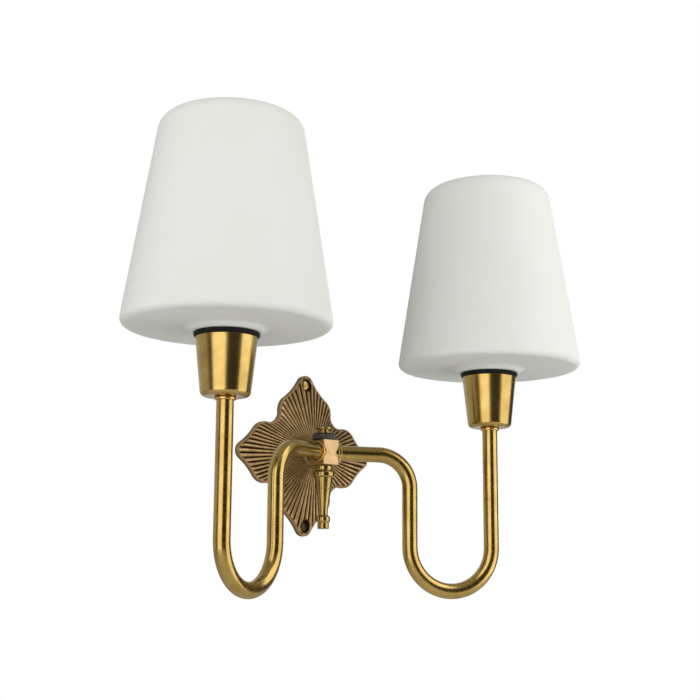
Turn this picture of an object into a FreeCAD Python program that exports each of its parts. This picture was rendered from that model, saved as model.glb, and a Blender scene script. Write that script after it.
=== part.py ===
"""Double arm wall sconce with a cast leaf plate, swan-neck tube arms and opal glass shades.

Millimetres, +Z up. The wall is the plane Y = 0 and the light stands out from it towards -Y.
The origin is the middle of the plate's back, halfway between its two screw holes. Each arm
lies in an upright plane of its own that is swept forward from the wall.
"""
import FreeCAD, Part
import math
import os

import Sketcher

V = FreeCAD.Vector
FULL_TURN = 360.0
SIDES = ("left", "right")

# name, value, meaning: lengths in millimetres and angles in degrees
SIZES = [
    ("PlateHalfWidth", 64.0, "middle of the plate to the tip of a side leaf"),
    ("PlateHalfHeight", 63.3, "middle of the plate to the tip of the top or bottom leaf"),
    ("PlateThickness", 4.0, "thickness of the plain rim"),
    ("PlateTipRadius", 7.5, "rounding of a leaf's tip, about the screw hole"),
    ("PlateFlankRadius", 47.5, "hollow flank between a leaf's tip and its shoulder"),
    ("PlateShoulderRadius", 12.4, "rounding of a leaf's shoulder"),
    ("SideShoulderReach", 38.2, "plate's middle to the middle of a side leaf's shoulder, along the leaf"),
    ("SideShoulderOffset", 11.4, "middle of that shoulder to the side leaf's centre line"),
    ("TopShoulderReach", 34.4, "plate's middle to the middle of a top or bottom leaf's shoulder"),
    ("TopShoulderOffset", 13.0, "middle of that shoulder to the top or bottom leaf's centre line"),
    ("PlateValleyRadius", 9.1, "rounding of the hollow between two leaves"),
    ("PlateRimWidth", 2.2, "width of the plain rim round the fluted field"),
    ("FieldFloor", 1.8, "cast thickness under the fluted field"),
    ("FieldCrown", 6.2, "height of the flutes' crests at the middle of the plate"),
    ("FieldCrestHeight", 4.7, "height of the crests at the tip of a side leaf"),
    ("FieldGrooveHeight", 2.9, "height of the grooves at the tip of a side leaf"),
    ("FluteCount", 60, "number of flutes round the plate"),
    ("BossRadius", 10.4, "round boss at the middle of the plate"),
    ("BossNeckRadius", 7.0, "boss where it meets the hub block"),
    ("BossNeckLength", 1.0, "short straight neck of the boss under the hub block"),
    ("BossNeckRound", 3.0, "rounding from the boss to its neck"),
    ("EyeletRadius", 5.6, "flat pad round a screw hole"),
    ("ScrewHoleRadius", 2.6, "hole for a wall screw"),
    ("ScrewSinkRadius", 4.1, "counterbore for the head of a wall screw"),
    ("ScrewSinkDepth", 1.7, "depth of that counterbore"),
    ("WireRecessRadius", 17.0, "shallow hollow in the plate's back for the wires"),
    ("WireRecessDepth", 3.0, "depth of the wire hollow"),
    ("NutPocketRadius", 9.0, "deeper pocket under the boss for the nipple's nut"),
    ("NutPocketDepth", 8.0, "depth of the nut pocket from the wall"),
    ("StemRadius", 4.95, "threaded nipples that join the pieces"),
    ("StemWall", 1.05, "wall of a threaded nipple"),
    ("StemClearance", 0.1, "radial clearance round a threaded nipple"),
    ("StemStart", 4.0, "wall to the back end of the plate's nipple"),
    ("StemInHub", 5.4, "length of the plate's nipple inside the hub block"),
    ("StemNutFlats", 14.0, "hexagon nut behind the plate, across its flats"),
    ("StemNutThickness", 3.0, "thickness of the hexagon nut"),
    ("HubWidth", 14.5, "hub block along the wall"),
    ("HubDepth", 19.0, "hub block away from the wall"),
    ("HubHeight", 19.4, "hub block upwards"),
    ("HubEdge", 0.4, "chamfer on the hub block's edges"),
    ("HubStandoff", 27.8, "wall to the middle of the hub block"),
    ("HubPassage", 3.6, "radius of the wire passages inside the hub block"),
    ("ArmSweepAngle", 22.9, "angle of each arm forward from the line of the wall"),
    ("ArmSeat", 3.8, "middle of the hub block to the end of an arm's tube"),
    ("ArmReach", 69.9, "middle of the hub block to the inner upright of an arm"),
    ("ArmBend", 25.5, "centre line radius of the bend from the run to the inner upright"),
    ("ArmSpan", 68.0, "inner upright to outer upright of an arm"),
    ("ArmDrop", 104.5, "height of the hub's middle over the lowest centre line of the arm"),
    ("TubeDiameter", 12.0, "outside of the arm's tube"),
    ("TubeWall", 1.0, "wall of the arm's tube"),
    ("FerruleWall", 0.7, "wall of the ring round the tube in the hub's bore"),
    ("FerruleLength", 3.0, "length of that ring"),
    ("FerruleStart", 0.2, "end of the tube to the ring"),
    ("SlipFit", 0.1, "radial clearance of rings and pieces that slip over one another"),
    ("StudRadius", 3.0, "threaded stud over and under the hub block"),
    ("StudInHub", 3.1, "length of a stud inside the hub block"),
    ("NutRadius", 8.8, "knurled nut on top of the hub block"),
    ("NutHeight", 5.0, "height of the knurled nut"),
    ("NutEdge", 0.5, "chamfer on the knurled nut"),
    ("KnurlCount", 36, "number of knurls round the nut"),
    ("KnurlDepth", 0.45, "depth of a knurl"),
    ("KnobFlangeRadius", 6.3, "upper flange of the turned knob"),
    ("KnobFlangeHeight", 2.3, "thickness of the upper flange"),
    ("KnobWaistRadius", 4.2, "waist of the knob"),
    ("KnobFootRadius", 5.1, "lower flange of the knob"),
    ("KnobFootHeight", 1.9, "thickness of the lower flange"),
    ("KnobHeight", 5.3, "height of the knob"),
    ("KnobRound", 0.75, "rounding of the knob's flanges"),
    ("FinialNeckRadius", 5.0, "finial where it meets the hub block"),
    ("FinialCollarRadius", 6.9, "upper ring of the finial"),
    ("FinialCollarDrop", 2.0, "hub block to the middle of the upper ring"),
    ("FinialCollarHeight", 3.6, "height of the upper ring"),
    ("FinialCollarRound", 1.1, "rounding of the upper ring"),
    ("FinialGrooveRadius", 6.1, "groove between the two rings"),
    ("FinialGrooveDrop", 4.3, "hub block to that groove"),
    ("FinialTorusRadius", 8.7, "widest ring of the finial"),
    ("FinialTorusDrop", 7.0, "hub block to the middle of the widest ring"),
    ("FinialTorusHeight", 4.2, "height of the widest ring"),
    ("FinialTorusRound", 1.5, "rounding of the widest ring"),
    ("FinialBodyRadius", 7.6, "top of the finial's tapered body"),
    ("FinialBodyDrop", 9.4, "hub block to the top of the tapered body"),
    ("FinialTaperDrop", 24.4, "hub block to where the taper, drawn straight, becomes the foot"),
    ("FinialTaperRound", 35.0, "hollow rounding from the taper to the foot"),
    ("FinialStemRadius", 3.1, "slender foot of the tapered body"),
    ("FinialStemDrop", 38.2, "hub block to the end of the slender foot"),
    ("FinialBeadRadius", 5.3, "bead near the finial's end"),
    ("FinialBeadDrop", 41.3, "hub block to the middle of the bead"),
    ("FinialBeadHeight", 3.8, "height of the bead"),
    ("FinialBeadRound", 1.6, "rounding of the bead"),
    ("FinialNeckLength", 1.2, "groove between the bead and the end button"),
    ("FinialEndRadius", 4.4, "button at the finial's end"),
    ("FinialLength", 48.6, "hub block to the finial's end"),
    ("CupBase", 25.0, "height of the cups' undersides over the hub's middle"),
    ("CupHeight", 41.2, "height of a cup"),
    ("CupFootRadius", 17.1, "cup at its underside"),
    ("CupRimRadius", 21.6, "cup at its rim"),
    ("CupWall", 1.2, "thickness of a cup's sheet"),
    ("CupRound", 3.6, "outer rounding from a cup's side to its underside"),
    ("CollarRadius", 7.6, "ring on the tube under a cup"),
    ("CollarHeight", 2.3, "height of that ring"),
    ("CupNutRadius", 8.6, "round nut inside a cup"),
    ("CupNutHeight", 2.5, "height of the nut inside a cup"),
    ("NippleInTube", 10.0, "length of the cup's nipple inside the tube"),
    ("NippleInHolder", 5.5, "length of the cup's nipple inside the lampholder"),
    ("HolderRadius", 13.2, "lower part of a lampholder"),
    ("ThreadRadius", 13.9, "threaded upper part of a lampholder"),
    ("ThreadStart", 30.0, "foot of a lampholder to its thread"),
    ("HolderHeight", 55.3, "height of a lampholder"),
    ("HolderSocketFloor", 26.0, "foot of a lampholder to the floor of its socket"),
    ("HolderEntryDepth", 8.0, "depth of the hole for the nipple in a lampholder"),
    ("ShellWall", 0.6, "screwed metal liner of a socket"),
    ("ShellHeight", 27.0, "height of the liner"),
    ("ContactRadius", 2.6, "spring contact on the socket's floor"),
    ("ContactHeight", 2.2, "height of the spring contact"),
    ("SeatRingRadius", 22.9, "black ring between a cup and its shade"),
    ("SeatRingHeight", 3.2, "height of the black ring over the cup's rim"),
    ("SeatRingSkirt", 3.0, "depth of the black ring's skirt inside the cup"),
    ("SeatRingSkirtRadius", 19.5, "radius of that skirt"),
    ("ClampRingRadius", 21.0, "flange of the ring that holds the glass down"),
    ("ClampRingHubRadius", 17.5, "hub of that ring"),
    ("ClampRingFlange", 2.6, "thickness of that ring's flange"),
    ("ClampRingHeight", 6.9, "height of that ring"),
    ("RingRound", 0.6, "rounding of the black rings' edges"),
    ("RestGap", 0.1, "gap between flat faces of pieces that come apart"),
    ("CollarRound", 0.9, "rounding of the ring under a cup"),
    ("ThreadGap", 0.3, "radial gap between a loose ring or glass and the lampholder"),
    ("GlassWall", 3.0, "thickness of the opal glass"),
    ("ShadeFootRadius", 74.0, "outside of a shade at its foot"),
    ("ShadeTopRadius", 50.4, "outside of a shade at its top, as if the edge were sharp"),
    ("ShadeHeight", 151.2, "height of a shade over its flat underside"),
    ("ShadeFootRound", 4.5, "rounding at the foot of a shade"),
    ("ShadeTopRound", 12.5, "rounding at the top of a shade"),
    ("ShadeTopLedge", 16.4, "edge of a shade's top, as if it were sharp, to the opening in it"),
    ("ShadeLip", 1.2, "rounding of the lip of that opening"),
    ("ShadeSeatRadius", 25.0, "lowered seat in the underside, on the black ring"),
    ("ShadeSeatDrop", 3.3, "how far the seat lies under the flat underside"),
    ("ShadeSeatSlope", 3.6, "width of the slope round the seat"),
    ("ShadeSeatRound", 2.0, "rounding of that slope"),
    ("BulbCapRadius", 6.95, "screw cap of a lamp bulb"),
    ("BulbCapHeight", 21.5, "height of the screw cap"),
    ("BulbTipRadius", 2.4, "contact at the foot of the screw cap"),
    ("BulbTipHeight", 0.8, "height of that contact"),
    ("BulbConeHeight", 3.6, "foot of the bulb to the start of its threaded sleeve"),
    ("BulbGlassRadius", 12.5, "tubular glass of a lamp bulb"),
    ("BulbGlassWall", 0.8, "wall of the bulb's glass"),
    ("BulbNeckRadius", 6.4, "neck of the bulb's glass"),
    ("BulbNeckInCap", 3.0, "length of the glass neck inside the cap"),
    ("BulbNeckLength", 9.0, "glass neck up to the widening"),
    ("BulbShoulderRise", 6.2, "height of the widening"),
    ("BulbShoulderRound", 2.4, "rounding of the widening"),
    ("BulbDomeRound", 10.6, "rounding of the bulb's end"),
    ("BulbLength", 85.0, "whole length of a bulb"),
]


class Size:
    """A length or angle that knows its number and the sheet expression it comes from."""

    def __init__(self, value, text):
        self.value = value
        self.text = text

    def __add__(self, other):
        other = as_size(other)
        return Size(self.value + other.value, f"({self.text} + {other.text})")

    def __sub__(self, other):
        other = as_size(other)
        return Size(self.value - other.value, f"({self.text} - {other.text})")

    def __mul__(self, other):
        other = as_size(other)
        return Size(self.value * other.value, f"({self.text} * {other.text})")

    def __truediv__(self, other):
        other = as_size(other)
        return Size(self.value / other.value, f"({self.text} / {other.text})")

    def __neg__(self):
        return Size(-self.value, f"(-{self.text})")


def as_size(value):
    """A bare number, such as 0 or the 2 of a halving, as a Size."""
    if isinstance(value, Size):
        return value
    return Size(float(value), repr(float(value)))


def cosine(angle):
    return Size(math.cos(math.radians(angle.value)), f"cos({angle.text})")


def sine(angle):
    return Size(math.sin(math.radians(angle.value)), f"sin({angle.text})")


doc = FreeCAD.newDocument("wall_sconce")
sheet = doc.addObject("Spreadsheet::Sheet", "Sizes")
for row, (name, value, meaning) in enumerate(SIZES, start=1):
    sheet.set(f"A{row}", str(value))
    sheet.setAlias(f"A{row}", name)
    sheet.set(f"B{row}", meaning)
doc.recompute()
D = {name: Size(float(sheet.get(name)), f"Sizes.{name}") for name, _, _ in SIZES}
ZERO = as_size(0)
PAST = as_size(1)  # how far a cutting tool runs past the face that it opens


# ---------------------------------------------------------------- helpers

def bind(target, **values):
    """Give each named property of an object its number from the sheet."""
    for name, size in values.items():
        target.setExpression(name, as_size(size).text)
    return target


def place(target, x=0, y=0, z=0, turns=()):
    """Put an object at x, y, z after turning it: turns are (axis, angle), the last one first."""
    base = f"vector({as_size(x).text}; {as_size(y).text}; {as_size(z).text})"
    rotation = " * ".join(f"rotation(vector({axis}); {as_size(angle).text})" for axis, angle in turns)
    target.setExpression("Placement", f"placement({base}; {rotation or 'rotation(vector(0; 0; 1); 0)'})")
    return target


ABOUT_X = "1; 0; 0"
ABOUT_Y = "0; 1; 0"
ABOUT_Z = "0; 0; 1"


def origin_plane(body, role):
    return [item for item in body.Origin.OriginFeatures if item.Role == role][0]


def new_sketch(body, name, role):
    sketch = body.newObject("Sketcher::SketchObject", name)
    sketch.AttachmentSupport = [(origin_plane(body, role), "")]
    sketch.MapMode = "FlatFace"
    return sketch


def constrain(sketch, *arguments, size=None):
    """Add one constraint, tied to a size of the sheet if one is given."""
    values = list(arguments)
    if size is not None:
        values.append(size.value)
    index = sketch.addConstraint(Sketcher.Constraint(*values))
    if size is not None:
        sketch.setExpression(f"Constraints[{index}]", size.text)


def rounded_polygon(sketch, corners):
    """Draw a closed outline of straight sides whose corners (x, y, rounding) may be rounded.

    A rounded corner is an arc tangent to both sides, and the sharp corner stays as a point
    that both sides aim at, so that every corner keeps its own place whatever its rounding.
    """
    points = [V(x.value, y.value, 0) for x, y, _ in corners]
    count = len(points)
    ends = []
    for index, (_, _, rounding) in enumerate(corners):
        corner = points[index]
        back = (points[index - 1] - corner).normalize()
        ahead = (points[(index + 1) % count] - corner).normalize()
        if rounding is None:
            ends.append((corner, corner, None))
            continue
        half = back.getAngle(ahead) / 2
        reach = rounding.value / math.tan(half)
        centre = corner + (back + ahead).normalize() * (rounding.value / math.sin(half))
        ends.append((corner + back * reach, corner + ahead * reach, centre))
    sides = []
    for index in range(count):
        line = Part.LineSegment(ends[index][1], ends[(index + 1) % count][0])
        sides.append(sketch.addGeometry(line, False))
    for index, (x, y, rounding) in enumerate(corners):
        before, after = sides[index - 1], sides[index]
        if rounding is None:
            constrain(sketch, "Coincident", before, 2, after, 1)
            constrain(sketch, "DistanceX", -1, 1, after, 1, size=x)
            constrain(sketch, "DistanceY", -1, 1, after, 1, size=y)
            continue
        start, end, centre = ends[index]
        first, last = (math.atan2(p.y - centre.y, p.x - centre.x) for p in (start, end))
        turns_left = (start - centre).cross(end - centre).z > 0
        circle = Part.Circle(centre, V(0, 0, 1), rounding.value)
        angles = (first, last) if turns_left else (last, first)
        arc = sketch.addGeometry(Part.ArcOfCircle(circle, *angles), False)
        near, far = (1, 2) if turns_left else (2, 1)
        aim = sketch.addGeometry(Part.Point(points[index]), True)
        constrain(sketch, "Tangent", before, 2, arc, near)
        constrain(sketch, "Tangent", arc, far, after, 1)
        constrain(sketch, "Radius", arc, size=rounding)
        constrain(sketch, "PointOnObject", aim, 1, before)
        constrain(sketch, "PointOnObject", aim, 1, after)
        constrain(sketch, "DistanceX", -1, 1, aim, 1, size=x)
        constrain(sketch, "DistanceY", -1, 1, aim, 1, size=y)


def turned(label, corners):
    """A piece turned about Z from half its section: (radius, height) or (radius, height, rounding)."""
    body = doc.addObject("PartDesign::Body", label)
    sketch = new_sketch(body, f"{label}_section", "XZ_Plane")
    full = [(as_size(c[0]), as_size(c[1]), c[2] if len(c) > 2 else None) for c in corners]
    rounded_polygon(sketch, full)
    turning = body.newObject("PartDesign::Revolution", f"{label}_turning")
    turning.Profile = sketch
    turning.ReferenceAxis = (sketch, ["V_Axis"])
    turning.Angle = FULL_TURN
    return body


def cylinder(name, radius, height):
    return bind(doc.addObject("Part::Cylinder", name), Radius=radius, Height=height)


def fused(name, shapes):
    fusion = doc.addObject("Part::MultiFuse", name)
    fusion.Shapes = shapes
    return fusion


def cut(name, base, tool):
    result = doc.addObject("Part::Cut", name)
    result.Base = base
    result.Tool = tool
    return result


# ---------------------------------------------------------------- wall plate

def tangent_centre(first, first_radius, second, second_radius):
    """Middle of the circle at those distances from two points, on the left of first to second."""
    along = second - first
    gap = along.Length
    run = (first_radius ** 2 - second_radius ** 2 + gap ** 2) / (2 * gap)
    rise = math.sqrt(first_radius ** 2 - run ** 2)
    along.normalize()
    return first + along * run + V(-along.y, along.x, 0) * rise


def plate_circles():
    """The circles that the plate's edge follows, once round: (middle, radius, bulges outwards)."""
    tip, flank = D["PlateTipRadius"].value, D["PlateFlankRadius"].value
    shoulder, valley = D["PlateShoulderRadius"].value, D["PlateValleyRadius"].value
    leaves = []
    for turn in range(4):
        length = (D["PlateHalfWidth"], D["PlateHalfHeight"])[turn % 2].value
        leaf = ("Side", "Top")[turn % 2]
        angle = math.radians(90 * turn)
        along, across = V(math.cos(angle), math.sin(angle), 0), V(-math.sin(angle), math.cos(angle), 0)
        tip_centre = along * (length - tip)
        foot = along * D[leaf + "ShoulderReach"].value
        offset = across * D[leaf + "ShoulderOffset"].value
        low, high = foot - offset, foot + offset
        low_flank = tangent_centre(tip_centre, tip + flank, low, shoulder + flank)
        high_flank = tangent_centre(high, shoulder + flank, tip_centre, tip + flank)
        leaves.append([low, low_flank, tip_centre, high_flank, high])
    circles = []
    for index, (low, low_flank, tip_centre, high_flank, high) in enumerate(leaves):
        following = leaves[(index + 1) % 4][0]
        notch = tangent_centre(following, shoulder + valley, high, shoulder + valley)
        circles += [(low, shoulder, True), (low_flank, flank, False), (tip_centre, tip, True),
                    (high_flank, flank, False), (high, shoulder, True), (notch, valley, False)]
    return circles


def plate_face(name, inset):
    """The plate's outline in the wall plane, drawn smaller all round by inset."""
    circles = [(c, r - inset if out else r + inset, out) for c, r, out in plate_circles()]
    touches = []
    for index, (centre, radius, _) in enumerate(circles):
        other = circles[(index + 1) % len(circles)][0]
        touches.append(centre + (other - centre).normalize() * radius)
    edges = []
    for index, (centre, radius, _) in enumerate(circles):
        start, end = touches[index - 1], touches[index]
        middle = centre + ((start - centre) + (end - centre)).normalize() * radius
        arc = Part.Arc(*(V(p.x, 0, p.y) for p in (start, middle, end)))
        edges.append(arc.toShape())
    feature = doc.addObject("Part::Feature", name)
    feature.Shape = Part.Face(Part.Wire(edges))
    return feature


def extruded(name, face, start, length):
    """A face of the wall plane drawn out from the wall, from one depth on."""
    block = doc.addObject("Part::Extrusion", name)
    block.Base = face
    block.DirMode = "Custom"
    block.Dir = V(0, -1, 0)
    block.Solid = True
    bind(block, LengthFwd=length)
    return place(block, y=-as_size(start))


def pleated_cone():
    """Crests and grooves that fan out from one point in front of the plate's middle."""
    count = 2 * int(D["FluteCount"].value)
    reach = D["PlateHalfWidth"].value
    crown = D["FieldCrown"].value
    floor = -D["FieldFloor"].value
    heights = (D["FieldCrestHeight"].value, D["FieldGrooveHeight"].value)
    overshoot = 1.1
    apex = V(0, -crown, 0)
    rim, base = [], []
    for index in range(count):
        angle = 2 * math.pi * index / count
        depth = -crown + (crown - heights[index % 2]) * overshoot
        x, z = (reach * overshoot * f(angle) for f in (math.cos, math.sin))
        rim.append(V(x, depth, z))
        base.append(V(x, floor, z))
    faces = [Part.Face(Part.makePolygon(base, True))]
    for index in range(count):
        following = (index + 1) % count
        pleat = [apex, rim[index], rim[following]]
        side = [rim[index], rim[following], base[following], base[index]]
        faces += [Part.Face(Part.makePolygon(pleat, True)), Part.Face(Part.makePolygon(side, True))]
    feature = doc.addObject("Part::Feature", "plate_pleats")
    feature.Shape = Part.Solid(Part.Shell(faces))
    return feature


def wall_plate():
    """Cast plate of four leaves: plain rim, fluted field, boss, wire hollow and screw holes."""
    hole_height = D["PlateHalfHeight"] - D["PlateTipRadius"]
    front = D["FieldCrown"] + PAST
    rim_face = plate_face("plate_outline", 0.0)
    field_face = plate_face("plate_field_outline", D["PlateRimWidth"].value)
    slab = extruded("plate_slab", rim_face, 0, D["PlateThickness"])
    well = extruded("plate_well", field_face, D["FieldFloor"], front)
    column = extruded("plate_column", field_face, D["FieldFloor"], front)
    field = doc.addObject("Part::MultiCommon", "plate_field")
    field.Shapes = [pleated_cone(), column]
    boss_height = D["HubStandoff"] - D["HubDepth"] / 2
    boss = turned("plate_boss", [
        (0, D["FieldFloor"]),
        (D["BossRadius"], D["FieldFloor"]),
        (D["BossRadius"], boss_height - D["BossNeckLength"], D["BossNeckRound"]),
        (D["BossNeckRadius"], boss_height - D["BossNeckLength"]),
        (D["BossNeckRadius"], boss_height),
        (0, boss_height),
    ])
    place(boss, turns=[(ABOUT_X, 90)])
    solids = [cut("plate_rim", slab, well), field, boss]
    cutters = []
    for word, height in (("top", hole_height), ("bottom", -hole_height)):
        eyelet = cylinder(f"{word}_eyelet", D["EyeletRadius"], D["PlateThickness"])
        solids.append(place(eyelet, z=height, turns=[(ABOUT_X, 90)]))
        room = cylinder(f"{word}_eyelet_room", D["EyeletRadius"], front)
        cutters.append(place(room, y=-D["PlateThickness"], z=height, turns=[(ABOUT_X, 90)]))
        hole = cylinder(f"{word}_hole", D["ScrewHoleRadius"], D["PlateThickness"] + PAST * 2)
        cutters.append(place(hole, y=PAST, z=height, turns=[(ABOUT_X, 90)]))
        sink = cylinder(f"{word}_sink", D["ScrewSinkRadius"], D["ScrewSinkDepth"] + PAST)
        sink_start = D["ScrewSinkDepth"] - D["PlateThickness"]
        cutters.append(place(sink, y=sink_start, z=height, turns=[(ABOUT_X, 90)]))
    recess = cylinder("wire_recess", D["WireRecessRadius"], D["WireRecessDepth"] + PAST)
    pocket = cylinder("nut_pocket", D["NutPocketRadius"], D["NutPocketDepth"] + PAST)
    bore = cylinder("stem_bore", D["StemRadius"] + D["StemClearance"], boss_height + PAST * 2)
    cutters += [place(tool, y=PAST, turns=[(ABOUT_X, 90)]) for tool in (recess, pocket, bore)]
    return cut("wall_plate", fused("plate_solids", solids), fused("plate_cutters", cutters))


def stem_nipple():
    """Threaded tube that holds the hub block on the plate and leads the wires through."""
    length = D["HubStandoff"] - D["HubDepth"] / 2 + D["StemInHub"] - D["StemStart"]
    inner = D["StemRadius"] - D["StemWall"]
    nipple = turned("stem_nipple", [
        (inner, 0), (D["StemRadius"], 0), (D["StemRadius"], length), (inner, length)])
    return place(nipple, y=-D["StemStart"], turns=[(ABOUT_X, 90)])


def stem_nut():
    """Hexagon nut on the nipple, tight against the floor of the pocket behind the plate."""
    prism = doc.addObject("Part::Prism", "stem_nut_hexagon")
    prism.Polygon = 6
    bind(prism, Circumradius=D["StemNutFlats"] / 2 / cosine(as_size(30)), Height=D["StemNutThickness"])
    bore = cylinder("stem_nut_bore", D["StemRadius"] + D["StemClearance"], D["StemNutThickness"])
    nut = cut("stem_nut", prism, bore)
    return place(nut, y=-(D["NutPocketDepth"] - D["StemNutThickness"]), turns=[(ABOUT_X, 90)])


# ---------------------------------------------------------------- hub

def arm_turn(side):
    """Turn about Z that lays an arm's own X axis along that arm's run."""
    return D["ArmSweepAngle"] + 180 if side == "left" else -D["ArmSweepAngle"]


def hub_block():
    """Machined block with a bore for each arm, the nipple's bore behind and two stud holes."""
    blank = doc.addObject("PartDesign::Body", "hub_blank")
    sketch = new_sketch(blank, "hub_outline", "XY_Plane")
    wide, deep = D["HubWidth"] / 2, D["HubDepth"] / 2
    rounded_polygon(sketch, [(-wide, -deep, None), (wide, -deep, None), (wide, deep, None),
                             (-wide, deep, None)])
    pad = blank.newObject("PartDesign::Pad", "hub_length")
    pad.Profile = sketch
    bind(pad, Length=D["HubHeight"])
    doc.recompute()
    eased = blank.newObject("PartDesign::Chamfer", "hub_edges")
    eased.Base = (pad, [f"Edge{number + 1}" for number in range(len(pad.Shape.Edges))])
    bind(eased, Size=D["HubEdge"])
    place(blank, y=-D["HubStandoff"], z=-D["HubHeight"] / 2)
    cutters = []
    ferrule_bore = D["TubeDiameter"] / 2 + D["SlipFit"] * 2 + D["FerruleWall"]
    for side in SIDES:
        turns = [(ABOUT_Z, arm_turn(side)), (ABOUT_Y, 90)]
        reach = D["HubDepth"]
        mouth = cylinder(f"hub_{side}_bore", ferrule_bore, reach)
        sweep = arm_turn(side)
        start_x, start_y = D["ArmSeat"] * cosine(sweep), D["ArmSeat"] * sine(sweep)
        place(mouth, x=start_x, y=start_y - D["HubStandoff"], turns=turns)
        passage = cylinder(f"hub_{side}_passage", D["HubPassage"], D["ArmSeat"] + PAST)
        place(passage, y=-D["HubStandoff"], turns=turns)
        cutters += [mouth, passage]
    back = cylinder("hub_back_bore", D["StemRadius"] + D["StemClearance"], D["StemInHub"] + PAST)
    back_face = -(D["HubStandoff"] - D["HubDepth"] / 2)
    place(back, y=back_face + PAST, turns=[(ABOUT_X, 90)])
    chamber = cylinder("hub_back_passage", D["HubPassage"], D["HubDepth"] / 2)
    place(chamber, y=back_face, turns=[(ABOUT_X, 90)])
    cutters += [back, chamber]
    starts = {"top": D["HubHeight"] / 2 - D["StudInHub"], "bottom": -D["HubHeight"] / 2 - PAST}
    for word, start in starts.items():
        hole = cylinder(f"hub_{word}_hole", D["StudRadius"] + D["SlipFit"], D["StudInHub"] + PAST)
        cutters.append(place(hole, y=-D["HubStandoff"], z=start))
    return cut("hub_block", blank, fused("hub_cutters", cutters))


def hub_stud():
    """Threaded stud that carries the knurled nut and the knob on top of the hub block."""
    length = D["StudInHub"] + D["NutHeight"] + D["KnobHeight"] / 2
    stud = turned("hub_stud", [
        (0, 0), (D["StudRadius"], 0), (D["StudRadius"], length), (0, length)])
    return place(stud, y=-D["HubStandoff"], z=D["HubHeight"] / 2 - D["StudInHub"])


def knurled_nut():
    """Round nut with an upright V-shaped knurl all round."""
    edge, radius = D["NutEdge"], D["NutRadius"]
    bore = D["StudRadius"] + D["SlipFit"]
    nut = turned("knurled_nut", [
        (bore, 0), (radius - edge, 0), (radius, edge), (radius, D["NutHeight"] - edge),
        (radius - edge, D["NutHeight"]), (bore, D["NutHeight"])])
    sketch = new_sketch(nut, "knurl_section", "XY_Plane")
    rounded_polygon(sketch, [
        (radius - D["KnurlDepth"], ZERO, None),
        (radius + D["KnurlDepth"], D["KnurlDepth"] * 2, None),
        (radius + D["KnurlDepth"], -D["KnurlDepth"] * 2, None)])
    knurl = nut.newObject("PartDesign::Pocket", "knurl")
    knurl.Profile = sketch
    knurl.Reversed = True
    knurl.Type = "ThroughAll"
    doc.recompute()
    ring = nut.newObject("PartDesign::PolarPattern", "knurls")
    ring.Originals = [knurl]
    ring.Axis = (sketch, ["N_Axis"])
    ring.Angle = FULL_TURN
    bind(ring, Occurrences=D["KnurlCount"])
    nut.Tip = ring
    return place(nut, y=-D["HubStandoff"], z=D["HubHeight"] / 2)


def top_knob():
    """Turned knob with a narrow waist between two round flanges."""
    height, foot = D["KnobHeight"], D["KnobFootHeight"]
    flange = height - D["KnobFlangeHeight"]
    bore = D["StudRadius"] + D["SlipFit"]
    knob = turned("top_knob", [
        (bore, 0),
        (D["KnobFootRadius"], 0, D["KnobRound"]),
        (D["KnobFootRadius"], foot, D["KnobRound"]),
        (D["KnobWaistRadius"], foot),
        (D["KnobWaistRadius"], flange),
        (D["KnobFlangeRadius"], flange, D["KnobRound"]),
        (D["KnobFlangeRadius"], height, D["KnobRound"]),
        (0, height),
        (0, height / 2 + D["RestGap"]),
        (bore, height / 2 + D["RestGap"])])
    return place(knob, y=-D["HubStandoff"], z=D["HubHeight"] / 2 + D["NutHeight"])


def finial():
    """Turned drop under the hub: two rings, a long taper, a bead and an end button."""
    spigot = D["StudInHub"] - D["RestGap"]

    def ring(word):
        radius, middle = D[f"Finial{word}Radius"], D[f"Finial{word}Drop"] + spigot
        half, rounding = D[f"Finial{word}Height"] / 2, D[f"Finial{word}Round"]
        return [(radius, middle - half, rounding), (radius, middle + half, rounding)]

    bead_end = D["FinialBeadDrop"] + D["FinialBeadHeight"] / 2 + spigot
    end = D["FinialLength"] + spigot
    piece = turned("finial", [
        (0, 0),
        (D["StudRadius"], 0),
        (D["StudRadius"], spigot),
        (D["FinialNeckRadius"], spigot),
        *ring("Collar"),
        (D["FinialGrooveRadius"], D["FinialGrooveDrop"] + spigot),
        *ring("Torus"),
        (D["FinialBodyRadius"], D["FinialBodyDrop"] + spigot),
        (D["FinialStemRadius"], D["FinialTaperDrop"] + spigot, D["FinialTaperRound"]),
        (D["FinialStemRadius"], D["FinialStemDrop"] + spigot),
        *ring("Bead"),
        (D["FinialStemRadius"], bead_end + D["FinialNeckLength"] / 2),
        (D["FinialEndRadius"], bead_end + D["FinialNeckLength"]),
        (D["FinialEndRadius"], end, D["KnobRound"]),
        (0, end)])
    return place(piece, y=-D["HubStandoff"], z=-D["HubHeight"] / 2 + spigot, turns=[(ABOUT_X, 180)])


# ---------------------------------------------------------------- arms

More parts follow.
